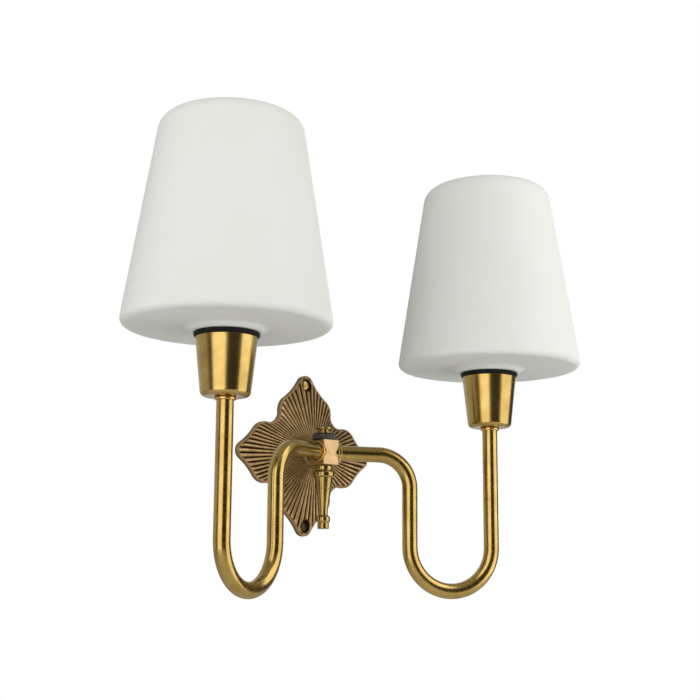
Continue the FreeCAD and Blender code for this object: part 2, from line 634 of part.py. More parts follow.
def arm_tube(side):
    """Swan-neck tube: a level run, a bend down, a U-shaped bend and a long upright to the cup."""
    body = doc.addObject("PartDesign::Body", f"{side}_arm_tube")
    path = new_sketch(body, f"{side}_arm_path", "XZ_Plane")
    seat, reach, bend = D["ArmSeat"], D["ArmReach"], D["ArmBend"]
    turn = D["ArmSpan"] / 2
    low = D["ArmDrop"] - turn
    x0, x1, x2 = seat.value, reach.value - bend.value, reach.value
    x3 = x2 + turn.value * 2
    pieces = [
        Part.LineSegment(V(x0, 0, 0), V(x1, 0, 0)),
        Part.ArcOfCircle(Part.Circle(V(x1, -bend.value, 0), V(0, 0, 1), bend.value), 0, math.pi / 2),
        Part.LineSegment(V(x2, -bend.value, 0), V(x2, -low.value, 0)),
        Part.ArcOfCircle(Part.Circle(V((x2 + x3) / 2, -low.value, 0), V(0, 0, 1), turn.value),
                         math.pi, 2 * math.pi),
        Part.LineSegment(V(x3, -low.value, 0), V(x3, D["CupBase"].value, 0)),
    ]
    run, shoulder, inner, hollow, outer = (path.addGeometry(piece, False) for piece in pieces)
    constrain(path, "PointOnObject", run, 1, -1)
    constrain(path, "DistanceX", -1, 1, run, 1, size=seat)
    constrain(path, "Horizontal", run)
    constrain(path, "DistanceX", run, 1, run, 2, size=reach - bend - seat)
    constrain(path, "Tangent", run, 2, shoulder, 2)
    constrain(path, "Radius", shoulder, size=bend)
    constrain(path, "Tangent", shoulder, 1, inner, 1)
    constrain(path, "Vertical", inner)
    constrain(path, "DistanceY", inner, 2, inner, 1, size=low - bend)
    constrain(path, "Tangent", inner, 2, hollow, 1)
    constrain(path, "Radius", hollow, size=turn)
    constrain(path, "Tangent", hollow, 2, outer, 1)
    constrain(path, "Vertical", outer)
    constrain(path, "DistanceY", outer, 1, outer, 2, size=low + D["CupBase"])
    section = new_sketch(body, f"{side}_arm_section", "YZ_Plane")
    section.setExpression("AttachmentOffset.Base.z", seat.text)
    for radius in (D["TubeDiameter"] / 2, D["TubeDiameter"] / 2 - D["TubeWall"]):
        ring = section.addGeometry(Part.Circle(V(0, 0, 0), V(0, 0, 1), radius.value), False)
        constrain(section, "Coincident", ring, 3, -1, 1)
        constrain(section, "Radius", ring, size=radius)
    doc.recompute()
    tube = body.newObject("PartDesign::AdditivePipe", f"{side}_arm_bending")
    tube.Profile = section
    tube.Spine = path
    return place(body, y=-D["HubStandoff"], turns=[(ABOUT_Z, arm_turn(side))])


def arm_ferrule(side):
    """Ring that fills the hub's bore round the tube."""
    inner = D["TubeDiameter"] / 2 + D["SlipFit"]
    outer = inner + D["FerruleWall"]
    ferrule = turned(f"{side}_arm_ferrule", [
        (inner, 0), (outer, 0), (outer, D["FerruleLength"]), (inner, D["FerruleLength"])])
    sweep = arm_turn(side)
    along = D["ArmSeat"] + D["FerruleStart"]
    return place(ferrule, x=along * cosine(sweep), y=along * sine(sweep) - D["HubStandoff"],
                 turns=[(ABOUT_Z, sweep), (ABOUT_Y, 90)])


def on_arm(piece, side, height):
    """Stand a piece upright on the axis of an arm's outer upright, at a height over the hub."""
    length = D["ArmReach"] + D["ArmSpan"]
    sweep = arm_turn(side)
    return place(piece, x=length * cosine(sweep), y=length * sine(sweep) - D["HubStandoff"],
                 z=height, turns=[(ABOUT_Z, sweep)])


# ---------------------------------------------------------------- cup and lampholder

HOLDER_FOOT = D["CupBase"] + D["CupWall"] + D["CupNutHeight"]
RIM = D["CupBase"] + D["CupHeight"]
STEM_BORE = D["StemRadius"] + D["StemClearance"]


def cup_collar(side):
    """Ring on the end of the tube, under the cup."""
    inner, outer, height = D["TubeDiameter"] / 2 + D["SlipFit"], D["CollarRadius"], D["CollarHeight"]
    collar = turned(f"{side}_cup_collar", [
        (inner, 0), (outer, 0, D["CollarRound"]), (outer, height, D["CollarRound"]), (inner, height)])
    return on_arm(collar, side, D["CupBase"] - height)


def cup(side):
    """Spun cup with straight flaring sides and a rounded foot."""
    wall, height = D["CupWall"], D["CupHeight"]
    shell = turned(f"{side}_cup", [
        (STEM_BORE, 0),
        (D["CupFootRadius"], 0, D["CupRound"]),
        (D["CupRimRadius"], height),
        (D["CupRimRadius"] - wall, height),
        (D["CupFootRadius"] - wall, wall, D["CupRound"] - wall),
        (STEM_BORE, wall)])
    return on_arm(shell, side, D["CupBase"])


def cup_nut(side):
    nut = turned(f"{side}_cup_nut", [
        (STEM_BORE, 0), (D["CupNutRadius"], 0), (D["CupNutRadius"], D["CupNutHeight"]),
        (STEM_BORE, D["CupNutHeight"])])
    return on_arm(nut, side, D["CupBase"] + D["CupWall"])


def cup_nipple(side):
    """Threaded tube that joins the arm, the cup and the lampholder."""
    inner = D["StemRadius"] - D["StemWall"]
    length = D["NippleInTube"] + D["CupWall"] + D["CupNutHeight"] + D["NippleInHolder"]
    nipple = turned(f"{side}_cup_nipple", [
        (inner, 0), (D["StemRadius"], 0), (D["StemRadius"], length), (inner, length)])
    return on_arm(nipple, side, D["CupBase"] - D["NippleInTube"])


def lampholder(side):
    """Insulating body with a screw thread outside, for the rings, and a socket inside."""
    bore = D["BulbCapRadius"] + D["SlipFit"] * 3 + D["ShellWall"]
    floor, entry = D["HolderSocketFloor"], D["HolderEntryDepth"]
    holder = turned(f"{side}_lampholder", [
        (STEM_BORE, 0),
        (D["HolderRadius"], 0, D["CupWall"]),
        (D["HolderRadius"], D["ThreadStart"]),
        (D["ThreadRadius"], D["ThreadStart"]),
        (D["ThreadRadius"], D["HolderHeight"], D["RingRound"]),
        (bore, D["HolderHeight"]),
        (bore, floor),
        (0, floor),
        (0, entry),
        (STEM_BORE, entry)])
    return on_arm(holder, side, HOLDER_FOOT)


def socket_shell(side):
    """Screwed metal liner of the socket."""
    inner = D["BulbCapRadius"] + D["SlipFit"] * 2
    outer = inner + D["ShellWall"]
    shell = turned(f"{side}_socket_shell", [
        (inner, 0), (outer, 0), (outer, D["ShellHeight"]), (inner, D["ShellHeight"])])
    return on_arm(shell, side, HOLDER_FOOT + D["HolderSocketFloor"])


def socket_contact(side):
    contact = turned(f"{side}_socket_contact", [
        (0, 0), (D["ContactRadius"], 0), (D["ContactRadius"], D["ContactHeight"], D["RingRound"]),
        (0, D["ContactHeight"])])
    return on_arm(contact, side, HOLDER_FOOT + D["HolderSocketFloor"])


def seat_ring(side):
    """Black ring on the cup's rim, with a skirt inside the cup, that carries the glass."""
    bore, skirt = D["ThreadRadius"] + D["SlipFit"], D["SeatRingSkirt"]
    top = skirt + D["SeatRingHeight"]
    ring = turned(f"{side}_seat_ring", [
        (bore, 0),
        (D["SeatRingSkirtRadius"], 0),
        (D["SeatRingSkirtRadius"], skirt),
        (D["SeatRingRadius"], skirt, D["RingRound"]),
        (D["SeatRingRadius"], top, D["RingRound"]),
        (bore, top)])
    return on_arm(ring, side, RIM - skirt)


# ---------------------------------------------------------------- shade and bulb

GLASS_FOOT = RIM + D["SeatRingHeight"] + D["RestGap"]


def shade(side):
    """Blown opal glass: a lowered seat, a flat underside, flaring sides and an open, turned-in top."""
    wall, drop = D["GlassWall"], D["ShadeSeatDrop"]
    foot, top, height = D["ShadeFootRadius"], D["ShadeTopRadius"], D["ShadeHeight"] + D["ShadeSeatDrop"]
    flare = (foot - top) / D["ShadeHeight"]
    hole = D["ThreadRadius"] + D["ThreadGap"] * 2
    slant = math.cos(math.atan2(foot.value - top.value, D["ShadeHeight"].value))
    side_wall = wall / slant
    mouth = top - D["ShadeTopLedge"]
    seat, slope = D["ShadeSeatRadius"], D["ShadeSeatSlope"]
    glass = turned(f"{side}_shade", [
        (hole, 0),
        (seat, 0, D["ShadeSeatRound"]),
        (seat + slope, drop, D["ShadeSeatRound"]),
        (foot, drop, D["ShadeFootRound"]),
        (top, height, D["ShadeTopRound"]),
        (mouth, height, D["ShadeLip"]),
        (mouth, height - wall, D["ShadeLip"]),
        (top + flare * wall - side_wall, height - wall, D["ShadeTopRound"] - wall),
        (foot - flare * wall - side_wall, drop + wall, D["ShadeFootRound"] - wall),
        (seat + slope - wall / 3, drop + wall, D["ShadeSeatRound"]),
        (seat - wall / 3, wall, D["ShadeSeatRound"]),
        (hole, wall)])
    return on_arm(glass, side, GLASS_FOOT)


def clamp_ring(side):
    """Black ring that is screwed down on the glass from inside the shade."""
    bore, flange, height = D["ThreadRadius"] + D["ThreadGap"], D["ClampRingFlange"], D["ClampRingHeight"]
    ring = turned(f"{side}_clamp_ring", [
        (bore, 0),
        (D["ClampRingRadius"], 0, D["RingRound"]),
        (D["ClampRingRadius"], flange, D["RingRound"]),
        (D["ClampRingHubRadius"], flange),
        (D["ClampRingHubRadius"], height, D["RingRound"]),
        (bore, height)])
    return on_arm(ring, side, GLASS_FOOT + D["GlassWall"] + D["RestGap"])


BULB_FOOT = HOLDER_FOOT + D["HolderSocketFloor"] + D["ContactHeight"] + D["RestGap"]


def bulb_cap(side):
    """Screw cap of the bulb: contact button, insulating cone and threaded sleeve."""
    radius, height, tip = D["BulbCapRadius"], D["BulbCapHeight"], D["BulbTipRadius"]
    socket = D["BulbNeckRadius"] + D["SlipFit"]
    cap = turned(f"{side}_bulb_cap", [
        (0, 0),
        (tip, 0),
        (tip, D["BulbTipHeight"]),
        (radius, D["BulbConeHeight"]),
        (radius, height),
        (socket, height),
        (socket, height - D["BulbNeckInCap"]),
        (0, height - D["BulbNeckInCap"])])
    return on_arm(cap, side, BULB_FOOT)


def bulb_glass(side):
    """Tubular bulb glass with a domed end and an open neck that sits in the cap."""
    wall, radius, neck = D["BulbGlassWall"], D["BulbGlassRadius"], D["BulbNeckRadius"]
    widen, rounding, dome = D["BulbNeckLength"], D["BulbShoulderRound"], D["BulbDomeRound"]
    wide = widen + D["BulbShoulderRise"]
    height = D["BulbLength"] - D["BulbCapHeight"] + D["BulbNeckInCap"]
    glass = turned(f"{side}_bulb_glass", [
        (neck, 0),
        (neck, widen, rounding),
        (radius, wide, rounding),
        (radius, height, dome),
        (0, height),
        (0, height - wall),
        (radius - wall, height - wall, dome - wall),
        (radius - wall, wide, rounding - wall),
        (neck - wall, widen, rounding - wall),
        (neck - wall, 0)])
    return on_arm(glass, side, BULB_FOOT + D["BulbCapHeight"] - D["BulbNeckInCap"] + D["RestGap"])


# ---------------------------------------------------------------- the whole lamp

def build():
    pieces = [wall_plate(), stem_nipple(), stem_nut(), hub_block(), hub_stud(), knurled_nut(),
              top_knob(), finial()]
    makers = (arm_ferrule, arm_tube, cup_collar, cup, cup_nut, cup_nipple, lampholder,
              socket_shell, socket_contact, seat_ring, shade, clamp_ring, bulb_cap, bulb_glass)
    for side in SIDES:
        pieces += [maker(side) for maker in makers]
    return pieces


def check(pieces):
    """Stop if any object failed to recompute or any piece is not one or more sound solids."""
    for item in doc.Objects:
        if {"Invalid", "Error"} & set(item.State):
            raise RuntimeError(f"{item.Label} did not recompute: {item.State}")
    for piece in pieces:
        shape = piece.Shape
        if shape.isNull() or not shape.isValid() or not shape.Solids:
            raise RuntimeError(f"{piece.Label} has no sound solid")


pieces = build()
doc.recompute()
check(pieces)
os.makedirs("parts", exist_ok=True)
for piece in pieces:
    piece.Shape.exportStep(f"parts/{piece.Label}.step")
    print(f"{piece.Label}: {len(piece.Shape.Solids)} solid, {piece.Shape.Volume / 1000:.3f} cm3")
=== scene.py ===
"""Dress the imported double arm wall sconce: brass, blackened nut, opal glass and the studio.

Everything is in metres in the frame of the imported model: +Z up, the wall at Y = 0 and the light
standing out of it towards -Y. The pieces' lengths are written in millimetres, which length(), mm()
and MM turn into metres; the stage's are in metres. Round pieces are sections turned about an
upright axis, tubes are circles carried along a path, and the wall plate is a height worked out
over a polar grid.
"""
import math

import bmesh
import bpy
import numpy as np
from bpy.props import FloatProperty, FloatVectorProperty, IntProperty, PointerProperty
from mathutils import Matrix, Vector


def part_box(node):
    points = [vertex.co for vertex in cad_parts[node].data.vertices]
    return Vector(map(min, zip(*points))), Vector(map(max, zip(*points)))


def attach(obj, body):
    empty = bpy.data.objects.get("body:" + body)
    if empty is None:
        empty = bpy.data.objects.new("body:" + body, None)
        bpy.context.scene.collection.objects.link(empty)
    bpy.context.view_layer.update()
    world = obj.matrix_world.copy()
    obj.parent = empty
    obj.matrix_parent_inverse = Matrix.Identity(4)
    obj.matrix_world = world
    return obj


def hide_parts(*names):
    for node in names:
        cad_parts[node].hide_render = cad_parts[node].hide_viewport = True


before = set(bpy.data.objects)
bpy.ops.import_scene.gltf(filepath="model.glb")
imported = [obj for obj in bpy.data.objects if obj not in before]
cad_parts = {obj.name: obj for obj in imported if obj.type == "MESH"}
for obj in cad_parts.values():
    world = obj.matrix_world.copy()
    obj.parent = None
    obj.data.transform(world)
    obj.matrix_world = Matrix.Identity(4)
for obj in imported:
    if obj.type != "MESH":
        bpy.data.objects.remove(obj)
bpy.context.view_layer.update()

bl_info = {
    "name": "Wall sconce dresser",
    "version": (1, 0, 0),
    "blender": (4, 5, 0),
    "location": "3D View > Sidebar > Sconce",
    "description": "Dresses a double arm wall sconce with turned, bent, cast and blown surfaces",
    "category": "Add Mesh",
}

MM = 0.001
SIDES = ("left", "right")
FIXTURE = "fixture"


# ---------------------------------------------------------------- places read from the frame

def middle(node):
    """Middle of a node's box."""
    low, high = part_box(node)
    return (low + high) / 2


def measures(node):
    """A round node's foot, on its own axis at its lowest height, its height and its radius."""
    low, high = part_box(node)
    foot = Vector(((low.x + high.x) / 2, (low.y + high.y) / 2, low.z))
    return foot, high.z - low.z, (high.x - low.x) / 2


HUB = middle("hub_block")
PLATE_LOW, PLATE_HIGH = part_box("wall_plate")


# ---------------------------------------------------------------- sizes and colours

def mm(*values):
    """Millimetres turned into metres."""
    return tuple(value * MM for value in values)


def length(name, description, default_mm):
    """A length for the sidebar, its default in millimetres."""
    return FloatProperty(name=name, description=description, default=default_mm * MM, unit="LENGTH",
                         min=0.0, precision=5)


def colour(name, description, default):
    """A colour for the sidebar."""
    return FloatVectorProperty(name=name, description=description, default=default,
                               subtype="COLOR", size=3, min=0.0, max=1.0)


class SconcePlateSizes(bpy.types.PropertyGroup):
    """Sizes of the cast wall plate."""
    tip: length("Leaf tip", "Rounding of a leaf's tip", 7.5)
    flank: length("Flank", "Hollow flank from a leaf's tip to its shoulder", 47.5)
    shoulder: length("Shoulder", "Rounding of a leaf's shoulder", 12.4)
    side_reach: length("Side reach", "Plate's middle to a side leaf's shoulder", 38.2)
    side_offset: length("Side offset", "Side leaf's centre line to its shoulder", 11.4)
    top_reach: length("Top reach", "Plate's middle to a top leaf's shoulder", 34.4)
    top_offset: length("Top offset", "Top leaf's centre line to its shoulder", 13.0)
    valley: length("Valley", "Rounding of the hollow between two leaves", 9.1)
    rim_width: length("Rim width", "Width of the plain rim", 1.3)
    rim_height: length("Rim height", "Height of the plain rim over the wall", 4.0)
    crown: length("Crown", "Height of the field, drawn on to the plate's middle", 16.0)
    foot: length("Field's foot", "Height of the grooves at the rim", 3.7)
    flutes: IntProperty(name="Flutes", default=84, min=8,
                        description="Number of flutes round the plate")
    crowding: FloatProperty(name="Crowding", default=9.0,
                            description="How much closer the side leaves' flutes lie")
    eyelet: length("Eyelet", "Flat pad round a screw hole", 4.7)
    hole: length("Hole", "Radius of a screw hole", 2.6)
    sink: length("Counterbore", "Radius of the counterbore", 4.1)
    sink_depth: length("Counterbore depth", "Depth of the counterbore", 1.7)
    boss: length("Boss", "Radius of the round boss", 10.4)
    boss_round: length("Boss rounding", "Rounding from the boss to its neck", 3.0)
    neck: length("Neck", "Radius of the boss under the hub block", 7.0)
    bore: length("Bore", "Radius of the bore through the boss", 5.05)
    recess: length("Wire hollow", "Radius of the hollow in the back", 17.0)
    recess_depth: length("Wire hollow depth", "Depth of the hollow in the back", 3.0)
    pocket: length("Nut pocket", "Radius of the pocket for the nut", 9.0)
    pocket_depth: length("Nut pocket depth", "Depth of the pocket for the nut", 8.0)


class SconceArmSizes(bpy.types.PropertyGroup):
    """Sizes of the bent arms."""
    tube: length("Tube", "Outside radius of the tube", 6.0)
    wall: length("Tube wall", "Wall of the tube", 1.0)
    bend: length("Bend", "Centre line radius of the upper bend", 25.5)
    span: length("Span", "Inner upright to outer upright", 68.0)
    seat: length("Seat", "Middle of the hub block to the end of the tube", 3.8)


class SconceColours(bpy.types.PropertyGroup):
    """Colours of the finishes."""
    brass: colour("Brass", "Lacquered brass of the arms and cups", (0.56, 0.38, 0.115))
    brass_deep: colour("Deep brass", "Darker drift in the lacquered brass", (0.41, 0.265, 0.062))
    bright: colour("Bright brass", "Polished brass of the small rings", (0.78, 0.50, 0.17))
    pale: colour("Pale brass", "Brushed face of the hub block", (0.60, 0.41, 0.20))
    bronze: colour("Bronze", "Crests of the cast plate", (0.72, 0.47, 0.22))
    patina: colour("Patina", "Grooves of the cast plate", (0.030, 0.016, 0.006))
    black: colour("Blackened", "Blackened steel of the knurled nut", (0.014, 0.013, 0.012))
    opal: colour("Opal", "Matt opal glass", (0.74, 0.745, 0.71))


# ---------------------------------------------------------------- surfaces

def surface(name, points, around, along, loop_along, sharp, marks=None):
    """Mesh of a grid of points that closes round its columns.

    points[i, j] is the grid, around and along are the running lengths of its columns and rows
    (one more entry than the grid has, for the seam) and become the map "grain". marks is a
    dict of name: grid of numbers kept on the vertices. Rows that shrink to one point are merged.
    """
    rows, columns = points.shape[:2]
    last = rows if loop_along else rows - 1
    i, j = (a.ravel() for a in np.meshgrid(np.arange(last), np.arange(columns), indexing="ij"))
    here, next_row = i * columns, (i + 1) % rows * columns
    next_column = (j + 1) % columns
    quads = np.stack([here + j, here + next_column, next_row + next_column, next_row + j], axis=1)
    mesh = bpy.data.meshes.new(name)
    mesh.from_pydata(points.reshape(-1, 3).tolist(), [], quads.tolist())
    u = np.stack([around[j], around[j + 1], around[j + 1], around[j]], axis=1)
    v = np.stack([along[i], along[i], along[i + 1], along[i + 1]], axis=1)
    grain = mesh.uv_layers.new(name="grain")
    grain.data.foreach_set("uv", np.stack([u, v], axis=2).astype(np.float32).ravel())
    for mark, values in (marks or {}).items():
        layer = mesh.attributes.new(mark, "FLOAT", "POINT")
        layer.data.foreach_set("value", values.astype(np.float32).ravel())
    merge(mesh, sharp)
    piece = bpy.data.objects.new(name, mesh)
    bpy.context.scene.collection.objects.link(piece)
    return piece


def merge(mesh, sharp=None, reach=1e-7):
    """Join doubled points, shade smooth and mark edges sharper than an angle in degrees."""
    work = bmesh.new()
    work.from_mesh(mesh)
    bmesh.ops.remove_doubles(work, verts=work.verts, dist=reach)
    bmesh.ops.dissolve_degenerate(work, edges=work.edges, dist=reach)
    for face in work.faces:
        face.smooth = True
    if sharp is not None:
        limit = math.radians(sharp)
        for edge in work.edges:
            edge.smooth = edge.calc_face_angle(math.pi) < limit
    work.to_mesh(mesh)
    work.free()


def rounded(corners, steps=8, ease=0.12 * MM, hold=0.35 * MM):
    """Points (n, 2) along a section whose corners are rounded by arcs.

    A corner is (radius, height) or (radius, height, rounding). The arc touches both sides at
    rounding / tan(half the corner's angle) from the corner, or nearer where two arcs would meet,
    and one more point on each side holds the flat stretch flat. Corners on the axis stay sharp.
    The section runs anticlockwise.
    """
    most, grip = 0.94, 0.3  # shares of a side for its two arcs, and of what is left for a hold
    flat = np.array([c[:2] for c in corners], float)
    area = np.sum(flat[:, 0] * np.roll(flat[:, 1], -1) - np.roll(flat[:, 0], -1) * flat[:, 1])
    if area < 0:
        corners, flat = corners[::-1], flat[::-1]
    ahead = np.roll(flat, -1, axis=0) - flat
    side = np.hypot(*ahead.T)
    ahead = ahead / side[:, None]
    back = -np.roll(ahead, 1, axis=0)
    half = 0.5 * np.arccos(np.clip(np.sum(back * ahead, axis=1), -1, 1))
    sharp = (flat[:, 0] <= 0) | (np.cos(half) < 1e-3)
    wanted = np.array([corner[2] if len(corner) > 2 else ease for corner in corners])
    reach = np.where(sharp, 0, wanted / np.tan(half))
    room = most * side / np.maximum(reach + np.roll(reach, -1), 1e-9)
    reach = reach * np.minimum(1, np.minimum(room, np.roll(room, 1)))
    spare = side - reach - np.roll(reach, -1)
    out = []
    for index, here in enumerate(flat):
        if sharp[index]:
            out.append(here[None])
            continue
        to_back, to_ahead = back[index], ahead[index]
        between, radius = to_back + to_ahead, reach[index] * math.tan(half[index])
        centre = here + between / np.hypot(*between) * radius / math.sin(half[index])
        first = here + to_back * reach[index] - centre
        final = here + to_ahead * reach[index] - centre
        start = math.atan2(first[1], first[0])
        sweep = (math.atan2(final[1], final[0]) - start + math.pi) % (2 * math.pi) - math.pi
        angles = start + sweep * np.linspace(0, 1, steps if len(corners[index]) > 2 else 4)
        arc = centre + radius * np.stack([np.cos(angles), np.sin(angles)], axis=1)
        before, after = (min(hold, grip * spare[k]) for k in (index - 1, index))
        out += [arc[:1] + to_back * before, arc, arc[-1:] + to_ahead * after]
    return np.concatenate(out)


def turned(name, corners, foot, segments, steps=8, wave=None, sharp=None, open_ends=False,
           marks=None):
    """A section turned about the upright axis through foot: x = r cos a, y = r sin a, z = height.

    wave(a, r, z) gives what is added to the radius, for threads, ribs and knurls.
    """
    section = corners if isinstance(corners, np.ndarray) else rounded(corners, steps)
    angle = 2 * math.pi * np.arange(segments) / segments
    r = np.repeat(section[:, :1], segments, axis=1)
    z = np.repeat(section[:, 1:], segments, axis=1)
    a = np.repeat(angle[None], len(section), axis=0)
    if wave:
        r = r + wave(a, r, z)
    points = np.stack([r * np.cos(a) + foot[0], r * np.sin(a) + foot[1], z + foot[2]], axis=2)
    step = np.hypot(*(np.roll(section, -1, axis=0) - section).T)
    along = np.concatenate([[0], np.cumsum(step)])
    around = np.linspace(0, 2 * math.pi * section[:, 0].max(), segments + 1)
    marks = {key: rule(a, r, z) for key, rule in (marks or {}).items()}
    return surface(name, points, around, along, not open_ends, sharp, marks)


def finished(piece, material, body, slot, *nodes):
    """Give a piece its material and its body, and hide the nodes that it stands for; slot, the name
    of a finish, is not used.
    """
    piece.data.materials.clear()
    piece.data.materials.append(material)
    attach(piece, body)
    if nodes:
        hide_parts(*nodes)
    return piece


# ---------------------------------------------------------------- materials

def toned(tone, share):
    """A colour made darker or lighter: each of its parts times share."""
    return tuple(share * part for part in tone)


class Nodes:
    """Short ways to add nodes to a material or to the world."""

    def __init__(self, owner):
        self.tree = owner.node_tree

    def new(self, kind, **settings):
        """A new node of a kind, with its settings."""
        node = self.tree.nodes.new("ShaderNode" + kind)
        for key, value in settings.items():
            setattr(node, key, value)
        return node

    def link(self, source, target):
        self.tree.links.new(source, target)

    def place(self, scale=(1, 1, 1), use_map=False):
        """Object coordinates, or the piece's own map "grain", scaled per axis."""
        if use_map:
            source = self.new("UVMap", uv_map="grain").outputs["UV"]
        else:
            source = self.new("TexCoord").outputs["Object"]
        mapping = self.new("Mapping")
        mapping.inputs["Scale"].default_value = scale
        self.link(source, mapping.inputs["Vector"])
        return mapping.outputs["Vector"]

    def noise(self, scale, detail=3.0, roughness=0.55, place=(1, 1, 1), use_map=False):
        """Noise from 0 to 1 over the object, or over its own map, scaled per axis by place."""
        texture = self.new("TexNoise")
        for socket, number in (("Scale", scale), ("Detail", detail), ("Roughness", roughness)):
            texture.inputs[socket].default_value = number
        self.link(self.place(place, use_map), texture.inputs["Vector"])
        return texture.outputs["Fac"]

    def spread(self, value, low, high, to_low=0.0, to_high=1.0):
        """Map a number from one range to another, held at both ends."""
        node = self.new("MapRange")
        for socket, number in (("From Min", low), ("From Max", high), ("To Min", to_low),
                               ("To Max", to_high)):
            node.inputs[socket].default_value = number
        self.link(value, node.inputs["Value"])
        return node.outputs["Result"]

    def blend(self, factor, first, second):
        """Mix two colours, each a triple or a socket."""
        node = self.new("Mix", data_type="RGBA")
        self.link(factor, node.inputs["Factor"])
        for socket, value in ((node.inputs[6], first), (node.inputs[7], second)):
            if isinstance(value, bpy.types.NodeSocket):
                self.link(value, socket)
            else:
                socket.default_value = (*value, 1.0)
        return node.outputs[2]


class Paint(Nodes):
    """A new material with one Principled shader, whose sockets are named with underscores."""

    def __init__(self, name, **values):
        self.material = bpy.data.materials.new(name)
        self.material.use_nodes = True
        super().__init__(self.material)
        self.skin = self.tree.nodes["Principled BSDF"]
        for socket, value in values.items():
            self.skin.inputs[socket.replace("_", " ")].default_value = value

    def feed(self, **sources):
        """Link sources to the shader's sockets."""
        for socket, source in sources.items():
            self.link(source, self.skin.inputs[socket.replace("_", " ")])

    def bump(self, height, distance, strength):
        """Let a height from 0 to 1 raise the surface by up to distance; gives the material."""
        node = self.new("Bump")
        node.inputs["Distance"].default_value = distance
        node.inputs["Strength"].default_value = strength
        self.link(height, node.inputs["Height"])
        self.feed(Normal=node.outputs["Normal"])
        return self.material


def once(paint):
    """Hand a material out again if one of its name is there."""
    return lambda name, *values: bpy.data.materials.get(name) or paint(name, *values)


@once
def lacquered_brass(name, base, deep, low, high, anisotropy, grain):
    """Spun or drawn brass: fine lines round the piece, slow drift of colour, clear lacquer."""
    paint = Paint(name, Metallic=1.0, Anisotropic=anisotropy, Coat_Weight=0.25, Coat_Roughness=0.06)
    drift = paint.noise(55.0, 4.0, 0.6)
    lines = paint.noise(1.0, 3.0, 0.65, (60.0, grain, 1.0), True)
    wide = paint.noise(1.0, 2.0, 0.55, (12.0, grain / 6, 1.0), True)
    tone = paint.blend(paint.spread(drift, 0.35, 0.68), base, deep)
    streaks = paint.spread(lines, 0.42, 0.78, 0.0, 0.45)
    tangent = paint.new("Tangent", direction_type="UV_MAP", uv_map="grain")
    paint.feed(Base_Color=paint.blend(streaks, tone, toned(deep, 0.72)),
               Roughness=paint.spread(wide, 0.3, 0.7, low, high),
               Tangent=tangent.outputs["Tangent"])
    return paint.bump(lines, 0.000008, 0.5)


@once
def cast_bronze(name, crest, patina):
    """Cast plate: dark patina in the grooves, rubbed crests, a fine sand texture, and through the
    relief marks a painted highlight on the beads and painted shade on the sides and back.
    """
    paint = Paint(name, Metallic=1.0)
    relief = paint.new("Attribute", attribute_name="relief")
    sand, cloud = paint.noise(1500.0, 5.0, 0.7), paint.noise(130.0, 4.0, 0.6)
    worn = paint.new("Math", operation="ADD")
    paint.link(paint.spread(sand, 0.3, 0.7, -0.16, 0.16), worn.inputs[0])
    paint.link(relief.outputs["Fac"], worn.inputs[1])
    # rubbed is wear on the crests, and it also carries the painted bead highlights and the painted
    # shade of the sides and back.
    rubbed = paint.spread(worn.outputs[0], 0.22, 0.98)
    rubbed_colour = paint.blend(paint.spread(cloud, 0.35, 0.65), crest, toned(crest, 0.66))
    paint.feed(Base_Color=paint.blend(rubbed, patina, rubbed_colour),
               Roughness=paint.spread(rubbed, 0.0, 1.0, 0.62, 0.33))
    return paint.bump(sand, 0.00005, 0.55)


@once
def brushed_block(name, base):
    """Milled block: short upright brush lines and a matt pale tone."""
    paint = Paint(name, Metallic=1.0)
    lines = paint.noise(1.0, 4.0, 0.65, (3800.0, 3800.0, 130.0))
    tone = paint.blend(paint.spread(paint.noise(160.0), 0.35, 0.7), base, toned(base, 0.80))
    streaks = paint.spread(lines, 0.45, 0.8, 0.0, 0.5)
    paint.feed(Base_Color=paint.blend(streaks, tone, toned(base, 0.55)),
               Roughness=paint.spread(lines, 0.3, 0.7, 0.34, 0.50))
    return paint.bump(lines, 0.00003, 0.6)


@once
def blackened(name, base):
    """Blackened steel, rubbed lighter on the points of the knurl."""
    paint = Paint(name, Metallic=0.85)
    knurl = paint.new("Attribute", attribute_name="relief")
    fine = paint.noise(900.0, 4.0)
    worn, pale = paint.spread(knurl.outputs["Fac"], 0.55, 1.0, 0.0, 0.75), (0.34, 0.31, 0.26)
    paint.feed(Base_Color=paint.blend(worn, base, pale),
               Roughness=paint.spread(fine, 0.3, 0.7, 0.26, 0.42))
    return paint.bump(fine, 0.00003, 0.4)


@once
def opal_glass(name, base):
    """Matt opal glass: cloudy tone, faint rings from the blowing and a few smudges."""
    paint = Paint(name, Metallic=0.0, Subsurface_Weight=0.35, Subsurface_Scale=0.006,
                  Specular_IOR_Level=0.12, Subsurface_Radius=(1.0, 1.0, 0.92))
    rings = paint.noise(1.0, 3.0, 0.55, (4.0, 420.0, 1.0), True)
    cloudy = (base[0] * 0.965, base[1] * 0.975, base[2] * 0.955)
    tone = paint.blend(paint.spread(paint.noise(16.0, 4.0), 0.35, 0.7), base, cloudy)
    smudge = paint.spread(paint.noise(34.0, 5.0, 0.7, (1, 1, 0.8)), 0.60, 0.78, 0.0, 0.55)
    paint.feed(Base_Color=paint.blend(smudge, tone, toned(base, 0.93)),
               Roughness=paint.spread(rings, 0.3, 0.7, 0.58, 0.70))
    return paint.bump(rings, 0.00006, 0.35)


@once
def moulded(name, base, roughness):
    """Moulded black plastic or rubber with a fine grain."""
    paint = Paint(name, Metallic=0.0, Specular_IOR_Level=0.22)
    fine = paint.noise(2600.0)
    paint.feed(Base_Color=paint.blend(paint.noise(210.0), base, toned(base, 1.5)),
               Roughness=paint.spread(fine, 0.3, 0.7, roughness - 0.06, roughness + 0.08))
    return paint.bump(fine, 0.00003, 0.35)


